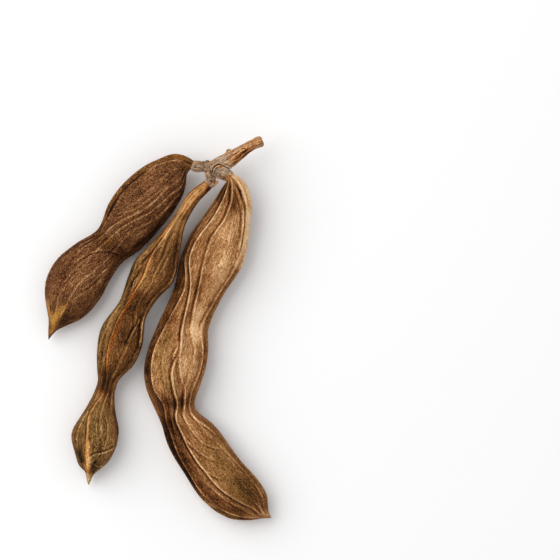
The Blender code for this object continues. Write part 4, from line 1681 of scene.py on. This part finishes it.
POD_RIGHT = Pod(
    name="pod_right",
    cuts=(
        Cut((20.7, 44.1), (22.3, 46.5), 9.0, 1.4, 0.0, (0.15, 0.35, 0.55, 0.83)),
        Cut((19.5, 42.6), (24.9, 45.0), 8.6, 2.5, 0.3, (0.12, 0.30, 0.50, 0.80)),
        Cut((16.9, 38.5), (28.1, 38.7), 7.5, 3.8, 0.7, (0.08, 0.24, 0.47, 0.80)),
        Cut((13.5, 33.6), (27.8, 32.1), 6.6, 4.7, 1.0, (0.06, 0.23, 0.47, 0.86)),
        Cut((9.6, 27.9), (27.1, 26.1), 5.8, 5.4, 1.2, (0.05, 0.165, 0.385, 0.89)),
        Cut((7.2, 22.5), (25.9, 20.1), 5.5, 5.6, 1.2, (0.05, 0.14, 0.385, 0.91)),
        Cut((4.8, 12.0), (19.3, 9.3), 5.2, 4.8, 1.0, (0.20, 0.34, 0.50, 0.93)),
        Cut((-0.3, 0.6), (15.1, -0.9), 5.2, 5.0, 0.8, (0.155, 0.505, 0.70, 0.875)),
        Cut((-3.0, -6.3), (15.1, -6.9), 5.4, 5.6, 0.8, (0.107, 0.537, 0.80, 0.925)),
        Cut((-4.2, -12.9), (14.1, -13.0), 5.5, 5.7, 0.8, (0.123, 0.467, 0.79, 0.93)),
        Cut((-3.3, -18.9), (12.2, -18.6), 5.3, 5.2, 0.7, (0.155, 0.534, 0.76, 0.89)),
        Cut((-1.2, -23.8), (11.0, -22.5), 4.8, 4.2, 0.6, (0.25, 0.588, 0.77, 0.90)),
        Cut((0.9, -28.5), (12.0, -25.1), 4.7, 4.0, 0.6, (0.15, 0.42, 0.65, 0.85)),
        Cut((2.5, -33.9), (16.2, -28.5), 4.9, 4.7, 0.8, (0.14, 0.36, 0.54, 0.80)),
        Cut((7.8, -43.5), (24.3, -39.1), 5.3, 5.6, 1.0, (0.08, 0.345, 0.62, 0.93)),
        Cut((14.4, -52.6), (30.9, -46.8), 5.1, 5.3, 0.9, (0.09, 0.427, 0.66, 0.93)),
        Cut((18.3, -55.6), (32.7, -50.1), 4.8, 4.7, 0.7, (0.12, 0.53, 0.72, 0.92)),
        Cut((22.5, -57.4), (33.0, -53.1), 4.3, 3.5, 0.4, (0.20, 0.66, 0.80, 0.92)),
        Cut((27.6, -57.7), (33.2, -54.8), 3.9, 2.2, 0.2, (0.25, 0.60, 0.75, 0.90)),
        Cut((31.2, -57.2), (33.6, -55.8), 3.6, 1.2, 0.0, (0.25, 0.50, 0.70, 0.85)),
    ),
    tip=(34.0, -57.0, 3.5),
    seam=1.0,
    veins=(0.9, 1.2, 1.0, 0.6),
    crest_highlight=0.42,
    groove_dirt_and_shade=0.36,
    lines=(
        crack(((22.95, 44.0), (24.8, 40.8), (25.9, 36.7), (26.2, 32.5), (25.9, 28.8), (25.2, 25.2),
               (23.85, 20.6)), 0.40, 0.38, 0.60),
        Vein(((24.3, 43.6), (25.8, 40.8), (26.8, 36.7), (27.1, 32.5), (26.7, 28.8), (25.9, 25.2),
              (24.6, 20.8)), rise=0.15, width=0.35, pale=0.16, groove=GrooveSide.EAST),
        crack(((22.2, 42.0), (23.7, 39.3), (24.6, 36.0), (24.9, 31.8), (24.3, 27.0)), 0.2, 0.22, 0.2),
        crack(((6.0, -6.6), (5.7, -9.3), (5.6, -12.3), (6.0, -15.0), (6.6, -17.4)), 0.3, 0.26, 0.36),
        Vein(((3.3, -27.6), (4.2, -30.9), (5.6, -35.4), (7.5, -40.2), (9.9, -44.7), (13.0, -48.8),
              (16.8, -52.5)), rise=0.35, width=0.26, pale=0.30),
        Vein(((8.4, -45.0), (12.0, -50.1), (16.2, -53.4), (21.0, -55.5), (25.5, -56.7)),
             rise=0.25, width=0.24, pale=0.24),
        Vein(((7.5, 2.1), (7.0, -2.1), (6.9, -6.0), (6.6, -10.2), (7.0, -14.4), (8.1, -18.6)),
             rise=0.4, width=0.24, pale=0.42),
        Vein(((6.4, -5.4), (5.4, -6.6), (4.7, -8.4), (4.5, -10.8)), rise=0.2, width=0.24, pale=0.36),
        Vein(((20.4, 38.4), (19.2, 31.8), (17.7, 24.9), (15.9, 18.3), (13.5, 12.0)),
             rise=0.15, pale=0.06),
        Vein(((23.1, 39.0), (22.5, 32.4), (21.0, 25.5), (18.6, 18.6), (16.5, 13.5)),
             rise=0.15, pale=0.06),
        Vein(((3.6, -2.1), (2.1, -6.6), (1.5, -12.0), (2.4, -17.1)), rise=0.25),
        Vein(((6.6, -24.6), (8.7, -28.2), (10.8, -31.5), (13.8, -34.5), (17.7, -36.0), (21.3, -36.0)),
             rise=0.3, width=0.22, pale=0.26),
        Vein(((7.2, -30.6), (8.7, -33.6), (11.7, -36.6), (15.3, -39.0), (19.2, -40.2)),
             rise=0.25, width=0.22, pale=0.26),
        Vein(((9.3, -25.2), (12.3, -28.2), (15.6, -30.3), (18.0, -32.4)),
             rise=0.25, width=0.22, pale=0.24),
        Vein(((10.5, -38.4), (13.2, -41.7), (16.5, -44.1), (20.4, -45.6)),
             rise=0.25, width=0.22, pale=0.22),
        Vein(((13.5, -45.3), (16.8, -48.6), (21.3, -51.9), (25.5, -54.3), (28.8, -56.1)), rise=0.3),
        Vein(((11.4, -46.2), (15.0, -50.4), (19.2, -53.7)), rise=0.25),
        Vein(((2.4, -19.2), (3.6, -22.8), (4.2, -27.6), (5.7, -32.4)), rise=0.25),
    ),
    stains_and_shading=(
        StainAndShading(((23.4, 45.3), (26.1, 41.4), (27.3, 36.9), (27.0, 30.9), (26.1, 24.9), (24.3, 19.2)),
              1.5, 0.37, 0.1),
        StainAndShading(((27.3, 33.0), (26.3, 26.4), (25.2, 21.6)), 0.9, 0.12),
        StainAndShading(((21.6, 28.2), (20.4, 24.0), (18.9, 19.5)), 3.0, 0.23),
        StainAndShading(((17.7, 15.0), (16.5, 12.3)), 2.6, 0.14),
        StainAndShading(((21.6, 42.6), (21.9, 39.9), (22.8, 36.9)), 2.2, -0.24),
        StainAndShading(((19.2, 41.1), (18.3, 38.1)), 1.3, -0.14),
        StainAndShading(((12.9, 5.4), (11.1, 2.1), (11.4, -3.0)), 1.4, 0.33),
        StainAndShading(((6.3, 12.6), (5.1, 7.2), (3.9, 3.0)), 1.2, -0.15),
        StainAndShading(((10.2, 0.0), (11.1, -6.0), (10.4, -13.0), (8.7, -18.0)), 1.2, 0.0, 0.0, 0.8),
        StainAndShading(((8.4, -26.4), (9.6, -30.6), (13.5, -36.6), (19.2, -44.1), (24.6, -50.1)),
              1.5, 0.0, 0.0, 0.85),
        StainAndShading(((19.5, 41.4), (16.8, 34.8), (13.5, 29.4), (10.2, 24.3), (8.7, 18.9), (8.4, 12.9),
               (8.7, 8.4), (8.1, 3.0)), 1.3, -0.09),
        StainAndShading(((16.8, 39.6), (13.8, 33.9), (9.6, 27.0), (6.6, 19.8), (6.0, 12.0), (5.1, 6.6)),
              1.5, -0.14),
        StainAndShading(((2.4, 3.0), (-1.2, -3.0), (-2.7, -7.2), (-3.3, -12.0)), 1.5, -0.24),
        StainAndShading(((13.2, 15.6), (12.3, 12.6), (11.7, 9.0)), 1.3, -0.20),
        StainAndShading(((11.7, -0.6), (11.1, -6.6), (9.6, -13.2)), 3.0, 0.12),
        StainAndShading(((2.7, -2.1), (1.8, -7.2), (1.5, -12.6), (3.0, -18.0)), 1.7, -0.20, 0.7),
        StainAndShading(((-3.3, -13.2), (-2.1, -18.6), (0.0, -23.1), (2.4, -28.8), (3.9, -33.9), (6.3, -39.0)),
              1.5, -0.24),
        StainAndShading(((1.8, -21.9), (4.2, -23.1), (7.2, -22.2)), 1.9, -0.34),
        StainAndShading(((6.3, -4.5), (5.4, -7.5)), 0.9, 0.0, 0.0, 0.85),
        StainAndShading(((8.4, -17.1), (9.6, -20.7)), 1.8, -0.12),
        StainAndShading(((16.2, -36.6), (20.1, -42.6), (26.0, -49.0)), 4.2, -0.21, 0.6),
        StainAndShading(((5.1, -32.4), (6.9, -36.6), (9.3, -41.4)), 1.6, -0.08),
        StainAndShading(((14.0, -32.0), (19.5, -39.0), (25.0, -46.0), (29.0, -52.0)), 2.4, 0.0, 0.0, 0.9),
        StainAndShading(((3.0, -29.1), (5.4, -36.6), (9.0, -43.8), (13.8, -50.1), (19.2, -54.3), (24.6, -55.8)),
              2.6, -0.39),
        StainAndShading(((24.6, -46.8), (28.2, -49.8), (30.9, -53.4)), 2.7, -0.20),
        StainAndShading(((12.3, -51.0), (17.4, -54.6), (23.4, -56.4)), 0.9, 0.12, 0.7),
        StainAndShading(((31.8, -55.5), (33.6, -56.7)), 1.0, 0.25),
    ),
    finish=TAN_HAIR,
    base=0.58,
    seed=23.9,
)
STALK = Stalk(
    name="stalk",
    limbs=(
        seated((
            (31.35, 56.05, 11.6, 1.10),
            (31.1, 55.95, 11.6, 1.48),
            (30.4, 55.7, 11.5, 1.60),
            (29.1, 55.2, 11.4, 1.56),
            (26.7, 53.9, 11.1, 1.62),
            (24.6, 52.5, 10.7, 1.89),
            (21.9, 50.7, 10.2, 2.28),
            (19.2, 49.2, 9.7, 2.40),
            (16.8, 48.3, 9.3, 2.10),
            (14.9, 48.2, 9.1, 1.50),
            (13.4, 48.3, 9.0, 1.40),
            (12.4, 48.4, 9.0, 1.72),
        ), *POD_LEFT.cuts[:2], 1.5),
        seated((
            (15.8, 48.6, 9.3, 1.30),
            (15.3, 46.6, 9.2, 1.29),
            (15.9, 44.8, 9.1, 1.40),
        ), *POD_MIDDLE.cuts[:2], 1.5),
        seated((
            (17.2, 48.6, 9.4, 1.70),
            (18.0, 47.4, 9.3, 2.15),
            (19.3, 46.7, 9.2, 2.25),
        ), *POD_RIGHT.cuts[:2], 1.7),
    ),
    knobs=(
        Knob((21.4, 52.7, 10.4), (0.95, 0.95, 0.76)),
        Knob((14.8, 49.5, 9.4), (0.80, 0.80, 0.72)),
        Knob((13.6, 49.5, 9.1), (0.60, 0.60, 0.54)),
        Knob((17.1, 43.4, 9.3), (1.15, 0.50, 0.40), turn=0.6),
    ),
    scars=(
        RingScar(0, 1.2, 0.12, 0.70, 0.0),
        RingScar(0, 3.1, -0.16, 0.25, -0.25),
        RingScar(0, 18.7, 0.14, 0.25, 0.05),
        RingScar(0, 19.9, -0.22, 0.22, -0.35),
        RingScar(0, 22.0, -0.10, 0.16, -0.25),
        RingScar(0, 22.6, 0.30, 0.30, 0.28),
        RingScar(0, 23.3, -0.10, 0.18, -0.20),
        RingScar(1, 1.9, -0.24, 0.18, -0.50),
        RingScar(1, 2.4, 0.16, 0.20, 0.22),
        RingScar(1, 3.5, -0.18, 0.16, -0.40),
        RingScar(1, 4.2, 0.18, 0.18, 0.25),
        RingScar(1, 4.8, -0.16, 0.14, -0.35),
        RingScar(1, 5.3, 0.16, 0.18, 0.25),
        RingScar(2, 2.6, -0.10, 0.14, -0.20),
        RingScar(2, 3.6, -0.14, 0.20, -0.25),
    ),
    cracks=(
        crack(((16.2, 45.9), (16.3, 46.8), (16.5, 47.7), (17.0, 48.4), (18.0, 49.0), (18.9, 48.9),
               (20.1, 48.3), (21.6, 47.6), (22.8, 46.9)), 0.30, 0.17, 0.45),
        crack(((17.0, 46.2), (17.1, 47.1), (17.5, 47.8), (18.4, 48.2)), 0.2, 0.13, 0.25),
        crack(((19.5, 49.2), (20.6, 49.0), (22.0, 48.4), (23.2, 47.8)), 0.2, 0.13, 0.3),
        crack(((15.3, 48.9), (15.6, 47.7), (16.0, 46.2)), 0.15, 0.13, 0.25),
        crack(((25.2, 53.7), (26.0, 53.8), (26.4, 53.2)), 0.2, 0.14, 0.45),
        crack(((24.0, 53.1), (24.6, 52.5), (25.8, 52.8)), 0.15, 0.14, 0.35),
        crack(((21.6, 51.9), (22.8, 52.0), (24.0, 52.5)), 0.15, 0.13, 0.3),
        Vein(((24.9, 50.7), (26.4, 51.9), (28.2, 53.1)), rise=-0.2, width=0.2, pale=-0.35),
        Vein(((22.2, 50.1), (24.0, 51.0), (25.8, 52.8), (27.6, 53.7)), rise=-0.2, width=0.2, pale=-0.3),
        Vein(((20.1, 51.0), (22.5, 51.6), (24.6, 53.1)), rise=-0.15, width=0.18, pale=-0.2),
    ),
    stains_and_shading=(
        StainAndShading(((31.5, 56.1), (28.5, 54.9), (25.5, 53.1), (23.4, 51.6)), 1.8, 0.04, 0.7),
        StainAndShading(((23.7, 51.6), (25.5, 52.3), (27.0, 53.4)), 0.6, -0.16, 0.7),
        StainAndShading(((21.0, 49.8), (22.2, 50.4), (23.4, 51.3)), 0.7, 0.0, 0.5),
        StainAndShading(((22.8, 49.2), (24.6, 50.7), (27.6, 53.1)), 0.8, -0.28, 0.8),
        StainAndShading(((23.1, 52.2), (25.2, 53.4), (27.6, 54.6)), 0.6, 0.20),
        StainAndShading(((17.4, 48.0), (18.9, 48.0)), 0.6, 0.0, 0.5),
        StainAndShading(((17.1, 46.8), (18.0, 47.3)), 0.9, -0.08, -0.6),
        StainAndShading(((16.4, 46.2), (16.6, 44.4)), 0.6, -0.10, -1.0),
        StainAndShading(((14.4, 48.9), (15.0, 48.0)), 0.8, -0.07),
        StainAndShading(((19.8, 47.1), (21.3, 46.5)), 1.0, 0.24, -0.3),
        StainAndShading(((20.4, 43.8), (20.7, 45.0), (22.2, 45.6)), 0.8, -0.05, 0.9),
        StainAndShading(((13.8, 47.7), (14.1, 49.2)), 0.8, -0.10),
        StainAndShading(((10.2, 49.9), (11.1, 50.1)), 0.8, 0.15),
        StainAndShading(((17.1, 43.4), (18.0, 43.9)), 0.9, 0.05, 0.9),
    ),
    finish=BARK,
)
STUDIO = Studio(
    lights=(
        SoftLight("key_light", (-0.60, 0.40, 0.75), 1.10, 8.4),
    ),
    sky=0.64,
)


def main() -> None:
    """Build the pieces in order, then the studio."""
    logging.basicConfig(level=logging.INFO, format="%(name)s: %(message)s")
    for sub_assembly in (STALK, POD_LEFT, POD_MIDDLE, POD_RIGHT):
        for piece in sub_assembly.build():
            LOG.info("%s is in place", piece.name)
    STUDIO.build()


if __name__ == "__main__":
    main()
